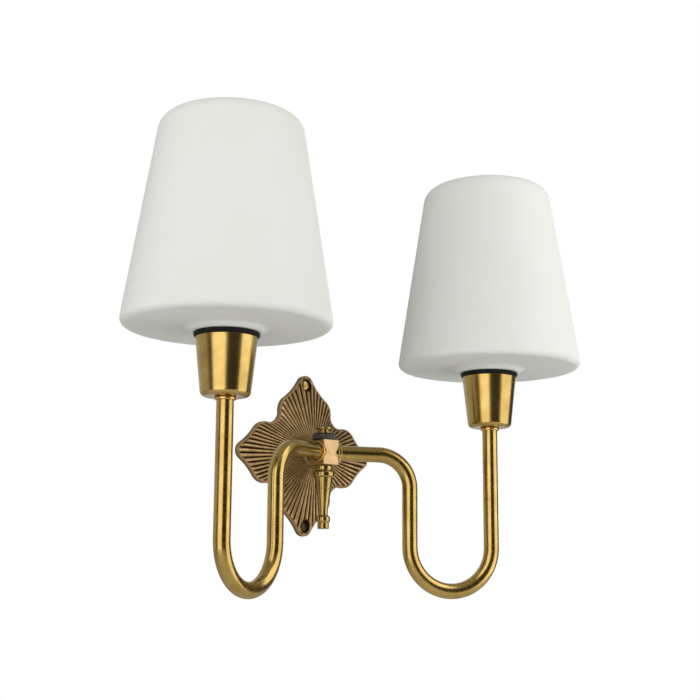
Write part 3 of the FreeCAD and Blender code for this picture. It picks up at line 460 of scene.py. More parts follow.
@once
def plain_metal(name, base, roughness):
    """Turned or plated small metal with a little unevenness."""
    paint = Paint(name, Metallic=1.0)
    fine = paint.noise(700.0, 4.0, 0.55, (1, 1, 6))
    paint.feed(Base_Color=paint.blend(paint.spread(fine, 0.3, 0.75), base, toned(base, 0.72)),
               Roughness=paint.spread(fine, 0.3, 0.7, roughness - 0.05, roughness + 0.09))
    return paint.bump(fine, 0.00002, 0.4)


@once
def frosted(name):
    """Frosted bulb glass over a pale coating."""
    paint = Paint(name, Metallic=0.0, Subsurface_Weight=0.3, Subsurface_Scale=0.003,
                  Coat_Weight=0.2)
    cloud = paint.noise(140.0, 4.0)
    paint.feed(Base_Color=paint.blend(cloud, (0.86, 0.86, 0.84), (0.79, 0.80, 0.78)),
               Roughness=paint.spread(cloud, 0.3, 0.7, 0.26, 0.38))
    return paint.material


# ---------------------------------------------------------------- stage

class SCONCE_OT_stage(bpy.types.Operator):
    """Camera at the photograph's viewing angle, pale floor and soft boxes"""
    bl_idname = "sconce.stage"
    bl_label = "Stage"

    camera_place = Vector((-0.595374, -0.796392, -0.101978))
    yaw, pitch, roll = (math.radians(angle) for angle in (38.92, 10.66, 0.38))
    focal_px, frame_px, sensor_mm = 1261.308, 700.0, 36.0
    floor_height = -0.42
    floor_radius = 3.0
    # name, angle left of the camera as seen from the sconce, height angle, distance, size, watts
    boxes = (
        ("near_box", 27.0, 8.0, 1.1, (1.0, 2.0), 12.0),
        ("far_box", -81.0, 8.0, 0.85, (0.85, 1.8), 9.0),
    )

    def camera(self, scene):
        forward = Vector((math.sin(self.yaw) * math.cos(self.pitch),
                          math.cos(self.yaw) * math.cos(self.pitch), math.sin(self.pitch)))
        right = Vector((math.cos(self.yaw), -math.sin(self.yaw), 0))
        up = right.cross(forward)
        right, up = (math.cos(self.roll) * right + math.sin(self.roll) * up,
                     math.cos(self.roll) * up - math.sin(self.roll) * right)
        data = bpy.data.cameras.new("camera")
        data.sensor_width = self.sensor_mm
        data.lens = self.focal_px / self.frame_px * self.sensor_mm
        data.clip_start, data.clip_end = 0.01, 50.0
        camera = bpy.data.objects.new("camera", data)
        turn = Matrix((right, up, -forward)).transposed().to_4x4()
        camera.matrix_world = Matrix.Translation(self.camera_place) @ turn
        scene.collection.objects.link(camera)
        scene.camera = camera

    def lights(self, scene):
        target = Vector((0, -0.08, 0.04))
        to_camera = math.atan2(self.camera_place.y, self.camera_place.x)
        for name, left, high, distance, size, watts in self.boxes:
            angle, lift = to_camera - math.radians(left), math.radians(high)
            away = Vector((math.cos(angle) * math.cos(lift), math.sin(angle) * math.cos(lift),
                           math.sin(lift)))
            data = bpy.data.lights.new(name, "AREA")
            data.shape = "RECTANGLE"
            data.size, data.size_y = size
            data.energy = watts
            light = bpy.data.objects.new(name, data)
            light.location = target + away * distance
            light.visible_camera = False
            light.rotation_mode = "QUATERNION"
            light.rotation_quaternion = away.to_track_quat("Z", "Y")
            scene.collection.objects.link(light)

    def world(self, scene):
        """White behind the object; metal mirrors a dark room with pale wall, ceiling and floor."""
        world = bpy.data.worlds.new("studio")
        world.use_nodes = True
        nodes = Nodes(world)
        room = world.node_tree.nodes["Background"]
        mirrored, backdrop = nodes.new("Background"), nodes.new("Background")
        for background, tint, strength in ((room, (0.92, 0.93, 0.92, 1), 0.34),
                                           (mirrored, (0.97, 0.98, 1.0, 1), 1.0),
                                           (backdrop, (1, 1, 1, 1), 1.0)):
            background.inputs["Color"].default_value = tint
            background.inputs["Strength"].default_value = strength
        direction = nodes.new("SeparateXYZ")
        nodes.link(nodes.new("TexCoord").outputs["Generated"], direction.inputs["Vector"])
        dark, pale_wall, pale_ceiling, pale_floor = 0.035, 0.60, 0.35, 0.60
        brightest = nodes.spread(direction.outputs["Y"], 0.20, 0.45, dark, pale_wall)
        for low, high, strength in ((0.3, 0.8, pale_ceiling), (-0.2, -0.6, pale_floor)):
            larger = nodes.new("Math", operation="MAXIMUM")
            nodes.link(brightest, larger.inputs[0])
            nodes.link(nodes.spread(direction.outputs["Z"], low, high, 0.0, strength),
                       larger.inputs[1])
            brightest = larger.outputs[0]
        nodes.link(brightest, mirrored.inputs["Strength"])
        path, seen = nodes.new("LightPath"), room
        for ray, background in (("Is Glossy Ray", mirrored), ("Is Camera Ray", backdrop)):
            mix = nodes.new("MixShader")
            nodes.link(path.outputs[ray], mix.inputs["Fac"])
            nodes.link(seen.outputs[0], mix.inputs[1])
            nodes.link(background.outputs["Background"], mix.inputs[2])
            seen = mix
        nodes.link(seen.outputs[0], world.node_tree.nodes["World Output"].inputs["Surface"])
        scene.world = world

    def floor(self):
        """A round pale floor that fades out towards its edge."""
        rings = np.linspace(0.0, self.floor_radius, 25)
        section = np.stack([rings, np.zeros_like(rings)], axis=1)
        floor = turned("floor", section, (0, 0, self.floor_height), 96, open_ends=True)
        paint = Paint("floor_paint", Roughness=0.75)
        distance = paint.new("VectorMath", operation="LENGTH")
        paint.link(paint.place((1, 1, 0)), distance.inputs[0])
        paint.feed(Base_Color=paint.blend(paint.noise(6.0), (0.86, 0.86, 0.86), (0.82, 0.82, 0.82)),
                   Alpha=paint.spread(distance.outputs["Value"], 0.5 * self.floor_radius,
                                      0.8 * self.floor_radius, 1.0, 0.0))
        floor.data.materials.append(paint.material)

    def execute(self, context):
        scene = context.scene
        scene.view_settings.view_transform = "Standard"
        self.camera(scene)
        self.lights(scene)
        self.world(scene)
        self.floor()
        return {"FINISHED"}


# ---------------------------------------------------------------- wall plate

def leaf_arcs(s, half_width, half_height):
    """The circles that the plate's edge follows, once round: rows of (x, z, radius, side).

    side is +1 where the edge bulges outwards and -1 in a hollow. A flank's middle lies at the sum
    of the radii from the tip's and from the shoulder's middle, and a valley's from two shoulders'.
    """
    def apex(first, first_reach, second, second_reach):
        """Where circles about first and second cross, left of the way from one to the other."""
        along = second - first
        gap = np.hypot(*along)
        run = (first_reach ** 2 - second_reach ** 2 + gap ** 2) / (2 * gap)
        rise = math.sqrt(first_reach ** 2 - run ** 2)
        along = along / gap
        return first + along * run + np.array([-along[1], along[0]]) * rise

    leaves = []
    for turn in range(4):
        reach = (half_width, half_height)[turn % 2]
        angle = math.pi / 2 * turn
        along = np.array([math.cos(angle), math.sin(angle)])
        across = np.array([-along[1], along[0]])
        foot_reach, offset = ((s.side_reach, s.side_offset), (s.top_reach, s.top_offset))[turn % 2]
        tip, foot = along * (reach - s.tip), along * foot_reach
        low, high = foot - across * offset, foot + across * offset
        leaves.append((low, apex(tip, s.tip + s.flank, low, s.shoulder + s.flank), tip,
                       apex(high, s.shoulder + s.flank, tip, s.tip + s.flank), high))
    arcs = []
    for index, (low, low_flank, tip, high_flank, high) in enumerate(leaves):
        following = leaves[(index + 1) % 4][0]
        notch = apex(following, s.shoulder + s.valley, high, s.shoulder + s.valley)
        arcs += [(*low, s.shoulder, 1), (*low_flank, s.flank, -1), (*tip, s.tip, 1),
                 (*high_flank, s.flank, -1), (*high, s.shoulder, 1), (*notch, s.valley, -1)]
    return np.array(arcs)


def edge_points(arcs, count):
    """count points along the arcs, in order round the plate, spaced by length and angle alike.

    Arc k runs from the point where it touches arc k - 1 to the point where it touches arc k + 1.
    Returns the points and each arc's first and last angle.
    """
    middles, radii = arcs[:, :2], arcs[:, 2]
    ahead = np.roll(middles, -1, axis=0) - middles
    touch = middles + ahead / np.hypot(*ahead.T)[:, None] * radii[:, None]
    start, end = np.roll(touch, 1, axis=0) - middles, touch - middles
    first = np.arctan2(start[:, 1], start[:, 0])
    sweep = np.arctan2(end[:, 1], end[:, 0]) - first
    sweep = (sweep + math.pi) % (2 * math.pi) - math.pi
    lengths = np.abs(sweep) * radii
    ends = np.concatenate([[0], np.cumsum(lengths)])

    def at(run):
        k = np.searchsorted(ends[1:-1], run, side="right")
        angle = first[k] + sweep[k] * (run - ends[k]) / lengths[k]
        return middles[k] + radii[k, None] * np.stack([np.cos(angle), np.sin(angle)], axis=1)

    fine = ends[-1] * np.linspace(0, 1, 8 * count)
    points = at(fine)
    angle = np.unwrap(np.arctan2(points[:, 1], points[:, 0]))
    measure = fine / ends[-1] + (angle - angle[0]) / (2 * math.pi)
    return at(np.interp(2 * np.arange(count) / count, measure, fine)), first, sweep


def edge_distance(points, arcs, first, sweep):
    """Distance of points (n, m, 2) inside the plate to its edge: the least distance to an arc."""
    least = np.full(points.shape[:2], np.inf)
    for (x, z, radius, _), start, turn in zip(arcs, first, sweep):
        dx, dz = points[..., 0] - x, points[..., 1] - z
        way = (np.arctan2(dz, dx) - start) * np.sign(turn) % (2 * math.pi)
        gap = np.where(way <= abs(turn) + 1e-3, np.abs(np.hypot(dx, dz) - radius), np.inf)
        least = np.minimum(least, gap)
    return least


def smooth_step(value, low, high):
    """0 up to low, 1 from high, and 3 t^2 - 2 t^3 between, t being the share of the way."""
    t = np.clip((value - low) / (high - low), 0, 1)
    return t * t * (3 - 2 * t)


def plate_height(s, xz, distance, reach, hole_height):
    """Height over the wall and relief (0 groove, 1 crest) of the plate's front at points (n, m, 2).

    The field is a cone drawn over the outline: it falls from the crown in the middle to its foot
    at the rim, so that a fold runs from the middle to each valley. Its reeds are the positive half
    of a cosine of the angle, closer together in the side leaves, and their depth grows with the
    radius. Each reed ends in a small bead, and a flat pad lies round each screw hole.
    """
    depth_share, shallowest, plain, bead_highlight_mark = 0.029, 0.35, 0.62, 0.8
    bead_place, bead_size, bead_height = mm(0.95, 0.55, 0.28)
    full_depth, rim_in, rim_out, pad_in, pad_out = mm(1.6, -0.1, 0.45, -0.5, 0.9)
    radius = np.hypot(xz[..., 0], xz[..., 1])
    angle = np.arctan2(xz[..., 1], xz[..., 0])
    ridge = np.abs(np.cos((s.flutes * angle + s.crowding / 2 * np.sin(2 * angle)) / 2))
    way = np.clip(radius / (reach - s.rim_width), 0, 1)
    inside = distance - s.rim_width
    field = s.foot + (s.crown - s.foot) * (1 - way)
    grown = shallowest + (1 - shallowest) * smooth_step(inside, 0.0, full_depth)
    reeds = depth_share * radius * ridge * grown
    bead = bead_height * ridge ** 4 * np.exp(-((inside - bead_place) / bead_size) ** 2)
    fluted = smooth_step(inside, rim_in, rim_out)
    height = s.rim_height * (1 - fluted) + (field + reeds) * fluted + bead
    to_hole = np.hypot(xz[..., 0], np.abs(xz[..., 1]) - hole_height)
    pad = 1 - smooth_step(to_hole, s.eyelet + pad_in, s.eyelet + pad_out)
    height = height * (1 - pad) + s.rim_height * pad
    # The beads are marked lighter than their crests: a painted highlight on each bead.
    relief = ridge * fluted + (1 - fluted) * plain + bead_highlight_mark * bead / bead_height
    return height, np.clip(relief * (1 - pad) + plain * pad, 0, 1)


class SCONCE_OT_wall_plate(bpy.types.Operator):
    """Cast plate of four fluted leaves with its boss, hollow back and screw holes"""
    bl_idname = "sconce.wall_plate"
    bl_label = "Wall plate"

    columns, field_rows, edge_rows, edge_crowding = 1092, 28, 26, 1.25
    edge_round, edge_band, chamfer = mm(0.8, 6.5, 0.3)
    lip, field_top = mm(1.0, 14.2)
    # The low marks of the side walls and the back give them nearly the grooves' dark colour:
    # painted shade on the plate's edge, bore and back.
    plain, wall, back = 0.62, 0.35, 0.25  # marks of the boss, the side walls and the back

    def execute(self, context):
        s = context.scene.sconce_plate
        half_width = (PLATE_HIGH.x - PLATE_LOW.x) / 2
        half_height = (PLATE_HIGH.z - PLATE_LOW.z) / 2
        boss_height = PLATE_HIGH.y - PLATE_LOW.y
        arcs = leaf_arcs(s, half_width, half_height)
        edge, first, sweep = edge_points(arcs, self.columns)
        reach = np.hypot(*edge.T)[:, None]
        ray = edge / reach
        inner = np.linspace(0, 1, self.field_rows)[:, None, None] * np.ones((1, self.columns, 1))
        start = s.boss / reach[None]
        near = 1 - self.edge_band / reach[None]
        outer = np.linspace(0, 1, self.edge_rows)[1:, None, None]
        share = np.concatenate([start + (near - start) * inner,
                                1 - (1 - near) * (1 - outer) ** self.edge_crowding])
        xz = share * edge[None]
        distance = edge_distance(xz, arcs, first, sweep)
        distance[-1] = 0
        height, relief = plate_height(s, xz, distance, reach[None, :, 0], half_height - s.tip)
        round_off = np.clip(1 - distance / self.edge_round, 0, 1)
        height = height - self.edge_round * (1 - np.sqrt(1 - round_off ** 2))
        rows, marks = [], []

        def row(points, out, mark):
            """One closed row of points, all as high over the wall."""
            level = np.full((1, self.columns, 1), out)
            rows.append(np.concatenate([points[None], level], axis=2))
            marks.append(np.full((1, self.columns), mark))

        corners = np.array(rounded([
            (s.bore, 0.0), (s.bore + 30 * MM, 0.0), (s.boss, 5 * MM),
            (s.boss, boss_height - self.lip, s.boss_round), (s.neck, boss_height - self.lip),
            (s.neck, boss_height), (s.bore, boss_height)]))
        boss = corners[(corners[:, 1] > self.field_top) & (corners[:, 0] > s.bore + 1e-5)]
        for depth in (s.pocket_depth, boss_height):
            row(ray * s.bore, depth, self.wall)
        for radius, out in boss[::-1]:
            row(ray * radius, out, self.plain)
        rows.append(np.concatenate([xz, height[..., None]], axis=2))
        marks.append(relief)
        row(edge, self.chamfer, self.wall)
        row(edge * (1 - self.chamfer / reach), 0.0, self.back)
        for radius, out in ((s.recess, 0.0), (s.recess, s.recess_depth),
                            (s.pocket, s.recess_depth), (s.pocket, s.pocket_depth)):
            row(ray * radius, out, self.back)
        grid = np.concatenate(rows)
        points = np.stack([grid[..., 0], -grid[..., 2], grid[..., 1]], axis=2)[::-1]
        mark = np.concatenate(marks)[::-1]
        around = np.linspace(0, 2 * math.pi * half_width, self.columns + 1)
        along = np.linspace(0, 2 * half_width, len(points) + 1)
        plate = surface("leaf_plate", points, around, along, True, None, {"relief": mark})
        self.drill(plate, s, half_height - s.tip)
        c = context.scene.sconce_colours
        finished(plate, cast_bronze("cast_bronze", c.bronze, c.patina), FIXTURE, "antique_brass",
                 "wall_plate")
        return {"FINISHED"}

    def drill(self, plate, s, hole_height):
        """Cut both screw holes and their counterbores, and mark the new edges sharp."""
        past, ease = mm(2.0, 0.25)
        sink, top, mouth = s.rim_height - s.sink_depth, s.rim_height, s.sink + 2 * ease
        corners = [(0, -past), (s.hole, -past), (s.hole, sink), (s.sink, sink),
                   (s.sink, top - ease), (mouth, top + ease), (mouth, top + past), (0, top + past)]
        tools = []
        for sign in (1, -1):
            tool = turned("drill", np.array(corners), (0, 0, 0), 48, open_ends=True)
            lay = Matrix.Rotation(math.pi / 2, 4, "X")
            tool.data.transform(Matrix.Translation((0, 0, sign * hole_height)) @ lay)
            tools.append(tool)
        for tool in tools:
            cut = plate.modifiers.new("hole", "BOOLEAN")
            cut.object, cut.operation, cut.solver = tool, "DIFFERENCE", "EXACT"
        made = bpy.data.meshes.new_from_object(
            plate.evaluated_get(bpy.context.evaluated_depsgraph_get()))
        plate.modifiers.clear()
        plate.data = made
        made.name = "leaf_plate"
        merge(made, 50)
        for tool in tools:
            bpy.data.objects.remove(tool)


class SCONCE_OT_wall_screw(bpy.types.Operator):
    """Cross-head screws sunk in the plate's two holes, the lower one darkened as painted shade"""
    bl_idname = "sconce.wall_screw"
    bl_label = "Wall screws"

    def execute(self, context):
        s = context.scene.sconce_plate
        hole_height = (PLATE_HIGH.z - PLATE_LOW.z) / 2 - s.tip
        bright = plain_metal("screw_brass", (0.72, 0.52, 0.22), 0.24)
        # The lower screw is the same brass darkened to near black: painted shade in the lower hole.
        painted_shade_brass = plain_metal("screw_dull", (0.10, 0.075, 0.04), 0.35)
        for name, sign, sink, material in (("upper", 1, 0.0, bright),
                                           ("lower", -1, 0.35 * MM, painted_shade_brass)):
            screw = self.screw(f"{name}_wall_screw", s, sign * hole_height, sink)
            finished(screw, material, FIXTURE, "bright_brass")
        return {"FINISHED"}

    def screw(self, name, s, hole_z, sink):
        """Domed head on a shank, with a cross sunk into it.

        The head falls from its top as a power of the radius. The cross is the larger of two
        slots at right angles, and is half as deep at the ends of its arms as in the middle.
        """
        segments, rings, power, drawn_in, shallow = 96, 40, 2.2, 0.97, 0.5
        head, dome, shank, gap, rise, edge = mm(3.4, 0.75, 2.1, 0.1, 1.5, 0.25)
        seat = s.rim_height - s.sink_depth + gap
        top = seat + rise - sink
        radius = np.concatenate([np.linspace(0, head, rings),
                                 [head, head * drawn_in, shank, shank, 0]])
        height = top - dome * (np.minimum(radius, head) / head) ** power
        height[rings:] = (seat + edge, seat, seat, gap, gap)
        r, a = np.meshgrid(radius, 2 * math.pi * np.arange(segments) / segments, indexing="ij")
        turn, (arm, width, depth, off_x, off_z) = 0.5, mm(2.4, 0.62, 1.3, 0.35, -0.25)
        across, along = np.abs(r * np.cos(a + turn)), np.abs(r * np.sin(a + turn))

        def slot(wide, far):
            """1 inside a slot and 0 outside, falling softly over its edges and ends."""
            inner, outer, near_end = 0.7, 1.25, 0.85
            across_it = 1 - smooth_step(wide, width * inner, width * outer)
            return across_it * (1 - smooth_step(far, arm * near_end, arm))

        cross = np.maximum(slot(across, along), slot(along, across))
        cross[rings:] = 0
        out = height[:, None] - depth * cross * (1 - shallow * np.minimum(r / arm, 1))
        points = np.stack([r * np.cos(a) + off_x, -out, r * np.sin(a) + hole_z + off_z], axis=2)
        around = np.linspace(0, 2 * math.pi * head, segments + 1)
        along = np.linspace(0, 2 * head, len(points) + 1)
        return surface(name, points[::-1], around, along, False, 60)


# ---------------------------------------------------------------- hub

class SCONCE_OT_hub(bpy.types.Operator):
    """Hub block with eased edges, from its own solid"""
    bl_idname = "sconce.hub"
    bl_label = "Hub block"

    def execute(self, context):
        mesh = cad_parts["hub_block"].data.copy()
        mesh.name = "hub_casting"
        sharp = 32
        merge(mesh, sharp, 1e-6)
        hub = bpy.data.objects.new("hub_casting", mesh)
        context.scene.collection.objects.link(hub)
        ease = hub.modifiers.new("ease", "BEVEL")
        ease.width, ease.segments = 0.16 * MM, 2
        ease.limit_method, ease.angle_limit = "ANGLE", math.radians(sharp)
        c = context.scene.sconce_colours
        finished(hub, brushed_block("brushed_hub", c.pale), FIXTURE, "brushed_brass", "hub_block")
        return {"FINISHED"}


class SCONCE_OT_knurled_nut(bpy.types.Operator):
    """Blackened nut with a diamond knurl and plain edges"""
    bl_idname = "sconce.knurled_nut"
    bl_label = "Knurled nut"

    def execute(self, context):
        foot, height, radius = measures("knurled_nut")
        bore, lip, depth, chamfer, plain, rise = mm(3.1, 0.75, 0.34, 0.55, 0.12, 0.3)
        count, climbs, band = 44, 0.55 * 5, 26

        def crest(a, z):
            """1 on a diamond's flat point, 0 in the crossing grooves: the larger of two saws."""
            turn, climb = count * a / (2 * math.pi), (z - lip) / (height - 2 * lip) * climbs
            saws = (np.abs((turn + sign * climb) % 1 - 0.5) * 2 for sign in (1, -1))
            return np.minimum(1, (1 - np.maximum(*saws)) * 2)

        def on_band(r, z):
            return (z >= lip) & (z <= height - lip) & (r > 0.9 * radius)

        wall = np.stack([np.full(band, radius), np.linspace(lip, height - lip, band)], axis=1)
        ends = [(bore, 0), (radius - chamfer, 0), (radius - plain, rise),
                (radius - plain, lip * 0.75)]
        section = np.concatenate([ends, wall, [(r, height - z) for r, z in ends[::-1]]])
        nut = turned("blackened_nut", section, foot, count * 10, sharp=40,
                     wave=lambda a, r, z: -depth * (1 - crest(a, z)) * on_band(r, z),
                     marks={"relief": lambda a, r, z: crest(a, z) * on_band(r, z)})
        c = context.scene.sconce_colours
        finished(nut, blackened("black_oxide", c.black), FIXTURE, "blackened_steel", "knurled_nut")
        return {"FINISHED"}


class SCONCE_OT_turned_ends(bpy.types.Operator):
    """Knob on top of the hub and finial under it"""
    bl_idname = "sconce.turned_ends"
    bl_label = "Knob and finial"

    def execute(self, context):
        c = context.scene.sconce_colours
        brass = lacquered_brass("turned_brass", toned(c.brass, 0.78), toned(c.brass_deep, 0.7),
                                0.15, 0.24, 0.2, 5200.0)
        foot, height, flange = measures("top_knob")
        low_flange, waist, low, tall, ease, soft, dip = mm(5.1, 4.2, 1.9, 2.3, 0.75, 0.9, 0.15)
        knob = turned("brass_knob", [
            (0, 0), (low_flange, 0, ease), (low_flange, low, ease), (waist, low),
            (waist, height - tall), (flange, height - tall, soft), (flange, height, soft),
            (0, height - dip)], foot, 96, open_ends=True)
        finished(knob, brass, FIXTURE, "antique_brass", "top_knob")
        finial_foot, _, widest = measures("finial")
        hub_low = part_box("hub_block")[0].z
        end = hub_low - finial_foot.z
        drops = dict(zip(
            ("collar", "groove", "torus", "body", "seam", "taper", "stem", "bead", "neck"),
            mm(2.0, 4.3, 7.0, 9.4, 17.9, 34.0, 38.2, 41.3, 43.8)))
        rings = {"collar": mm(6.9, 3.6, 1.1), "torus": (widest, *mm(4.2, 1.5)),
                 "bead": mm(5.3, 3.8, 1.6)}

        def ring(name):
            """Both corners of a ring's rim, the upper one first."""
            radius, tall, ease = rings[name]
            return [(radius, sign * tall / 2 - drops[name], ease) for sign in (1, -1)]

        top, groove, stem, body = mm(5.0, 6.1, 3.5, 7.2)
        nick, button, chamfer, bend = mm(0.16, 4.4, 0.7, 35)
        slope = (body - stem) / (drops["taper"] - drops["body"])
        seam = drops["seam"]
        at_seam = body - slope * (seam - drops["body"])
        section = [
            (0, 0), (top, 0), *ring("collar"), (groove, -drops["groove"]), *ring("torus"),
            (body, -drops["body"]), (at_seam + slope * nick * 1.5, -seam + nick * 1.5),
            (at_seam - nick, -seam), (at_seam - slope * nick * 1.5, -seam - nick * 1.5),
            (stem, -drops["taper"], bend), (stem, -drops["stem"]), *ring("bead"),
            (stem * 1.2, -drops["neck"]), (button, -drops["neck"] - chamfer), (button, -end, ease),
            (0, -end)]
        drop = turned("brass_finial", section, (HUB.x, HUB.y, hub_low), 96, 10, open_ends=True)
        finished(drop, brass, FIXTURE, "antique_brass", "finial")
        return {"FINISHED"}


# ---------------------------------------------------------------- arms and cups

def way_to_cup(side):
    """Foot of a side's cup, and the level way there from the hub block."""
    foot = measures(f"{side}_cup")[0]
    return foot, Vector((foot.x - HUB.x, foot.y - HUB.y, 0))


def polished(c):
    """Bright brass of the rings at both ends of an arm."""
    return lacquered_brass("polished_brass", c.bright, c.brass, 0.12, 0.18, 0.2, 5200.0)


class SCONCE_OT_arms(bpy.types.Operator):
    """Swan-neck tubes: a circle carried along a level run, two bends and two uprights"""
    bl_idname = "sconce.arms"
    bl_label = "Arms"

    def path(self, s, reach, drop, top):
        """Points (n, 2) along the arm, in its own upright plane.

        Each run is a straight stretch, and each bend is the arc that its two runs touch.
        """
        turn = s.span / 2
        low = drop - turn
        x1, x2, x3 = reach - s.bend, reach, reach + s.span
        quarter, half = np.linspace(math.pi / 2, 0, 40), np.linspace(math.pi, 2 * math.pi, 96)
        straight = lambda a, b, n: np.linspace(a, b, n, endpoint=False)[1:]
        return np.concatenate([
            [(s.seat, 0)], straight((s.seat, 0), (x1, 0), 24),
            np.stack([x1 + s.bend * np.cos(quarter), -s.bend + s.bend * np.sin(quarter)], axis=1),
            straight((x2, -s.bend), (x2, -low), 24),
            np.stack([(x2 + x3) / 2 + turn * np.cos(half), -low + turn * np.sin(half)], axis=1),
            straight((x3, -low), (x3, top), 48), [(x3, top)]])

    def execute(self, context):
        s, c = context.scene.sconce_arm, context.scene.sconce_colours
        brass = lacquered_brass("drawn_brass", c.brass, c.brass_deep, 0.16, 0.26, 0.3, 2600.0)
        segments = 64
        angle = 2 * math.pi * np.arange(segments) / segments
        for side in SIDES:
            cup_foot, away = way_to_cup(side)
            total, run = away.length, away.normalized()
            drop = HUB.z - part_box(f"{side}_arm_tube")[0].z - s.tube
            line = self.path(s, total - s.span, drop, cup_foot.z - HUB.z)
            tangent = np.gradient(line, axis=0)
            tangent /= np.hypot(*tangent.T)[:, None]
            step = np.hypot(*np.diff(line, axis=0).T)
            line = np.concatenate([line, line[::-1]])
            tangent = np.concatenate([tangent, tangent[::-1]])
            count = len(step) + 1
            radius = np.repeat([s.tube, s.tube - s.wall], count)[:, None]
            plane = np.array([run.x, run.y, 0]), np.array([0, 0, 1.0])
            across = np.cross(plane[0], plane[1])
            normal = (-tangent[:, 1:] * plane[0] + tangent[:, :1] * plane[1])[:, None]
            centre = (line[:, :1] * plane[0] + line[:, 1:] * plane[1])[:, None] + np.array(HUB)
            points = centre + radius[..., None] * (np.cos(angle)[None, :, None] * normal
                                                   + np.sin(angle)[None, :, None] * across)
            run_length = np.concatenate([[0], np.cumsum(step)])
            along = np.concatenate([run_length, run_length[-1] + run_length, [2 * run_length[-1]]])
            around = np.linspace(0, 2 * math.pi * s.tube, segments + 1)
            tube = surface(f"{side}_swan_neck", points, around, along, True, 60)
            outward(tube)
            finished(tube, brass, FIXTURE, "antique_brass", f"{side}_arm_tube")
        return {"FINISHED"}


class SCONCE_OT_arm_sleeves(bpy.types.Operator):
    """Flanged rings round the tubes, where they leave the hub block"""
    bl_idname = "sconce.arm_sleeves"
    bl_label = "Arm sleeves"

    def execute(self, context):
        c = context.scene.sconce_colours
        bore, sleeve, hollow, flange, ease = mm(6.1, 6.8, 6.9, 7.9, 0.4)
        start, shoulder, floor, end = mm(4.0, 10.45, 11.6, 12.6)
        for side in SIDES:
            run = way_to_cup(side)[1].normalized()
            ring = turned(f"{side}_arm_sleeve", [
                (bore, start), (sleeve, start), (sleeve, shoulder), (flange, shoulder, ease),
                (flange, end, ease), (hollow, end), (hollow, floor), (bore, floor)],
                (0, 0, 0), 96, 6)
            lay = Vector((0, 0, 1)).rotation_difference(run).to_matrix().to_4x4()
            ring.data.transform(Matrix.Translation(HUB) @ lay)
            finished(ring, polished(c), FIXTURE, "bright_brass", f"{side}_arm_ferrule")
        return {"FINISHED"}


def outward(piece):
    """Turn the faces of a closed surface outwards."""
    work = bmesh.new()
    work.from_mesh(piece.data)
    bmesh.ops.recalc_face_normals(work, faces=work.faces)
    work.to_mesh(piece.data)
    work.free()


class SCONCE_OT_cups(bpy.types.Operator):
    """Spun cups, the rings under them and the black rings on them"""
    bl_idname = "sconce.cups"
    bl_label = "Cups"

    def execute(self, context):
        c = context.scene.sconce_colours
        spun = lacquered_brass("spun_brass", c.brass, c.brass_deep, 0.16, 0.24, 0.45, 5200.0)
        black = moulded("black_rubber", (0.003, 0.003, 0.0035), 0.6)
        bore, foot_radius, wall, ease, lip = mm(5.05, 17.1, 1.2, 3.6, 0.4)
        tube, soft, hollow, skirt_radius = mm(6.1, 0.9, 14.0, 19.5)
        step, rise, ring_ease = mm(0.5, 1.1, 0.3)
        for side in SIDES:
            foot, height, rim = measures(f"{side}_cup")
            cup = turned(f"{side}_spun_cup", [
                (bore, 0), (foot_radius, 0, ease), (rim, height, lip), (rim - wall, height, lip),
                (foot_radius - wall, wall, ease - wall), (bore, wall)], foot, 160, 12)
            finished(cup, spun, FIXTURE, "antique_brass", f"{side}_cup")
            collar_foot, tall, outer = measures(f"{side}_cup_collar")
            collar = turned(f"{side}_neck_ring", [(tube, 0), (outer, 0, soft), (outer, tall, soft),
                                                  (tube, tall)], collar_foot, 96, 8)
            finished(collar, polished(c), FIXTURE, "bright_brass", f"{side}_cup_collar")
            base, top, outer = measures(f"{side}_seat_ring")
            skirt = foot.z + height - base.z
            ring = turned(f"{side}_rubber_ring", [
                (hollow, 0), (skirt_radius, 0), (skirt_radius, skirt),
                (outer - step, skirt, ring_ease), (outer - step, skirt + rise),
                (outer, skirt + rise, lip), (outer, top, 2 * ring_ease), (hollow, top)],
                base, 128, 6)
            finished(ring, black, FIXTURE, "black_plastic", f"{side}_seat_ring")
        return {"FINISHED"}


# ---------------------------------------------------------------- lampholder, glass and bulb

def screw_thread(pitch, depth, low, high, at_radius):
    """Wave of a screw thread: a rounded saw of (height / pitch - turns), faded at both ends."""
    def wave(a, r, z):
        saw = 0.5 + 0.5 * np.cos(2 * math.pi * (z / pitch - a / (2 * math.pi)))
        inside = smooth_step(z, low, low + pitch / 2) * (1 - smooth_step(z, high - pitch / 2, high))
        return -depth * saw * inside * (np.abs(r - at_radius) < 0.2 * MM)
    return wave


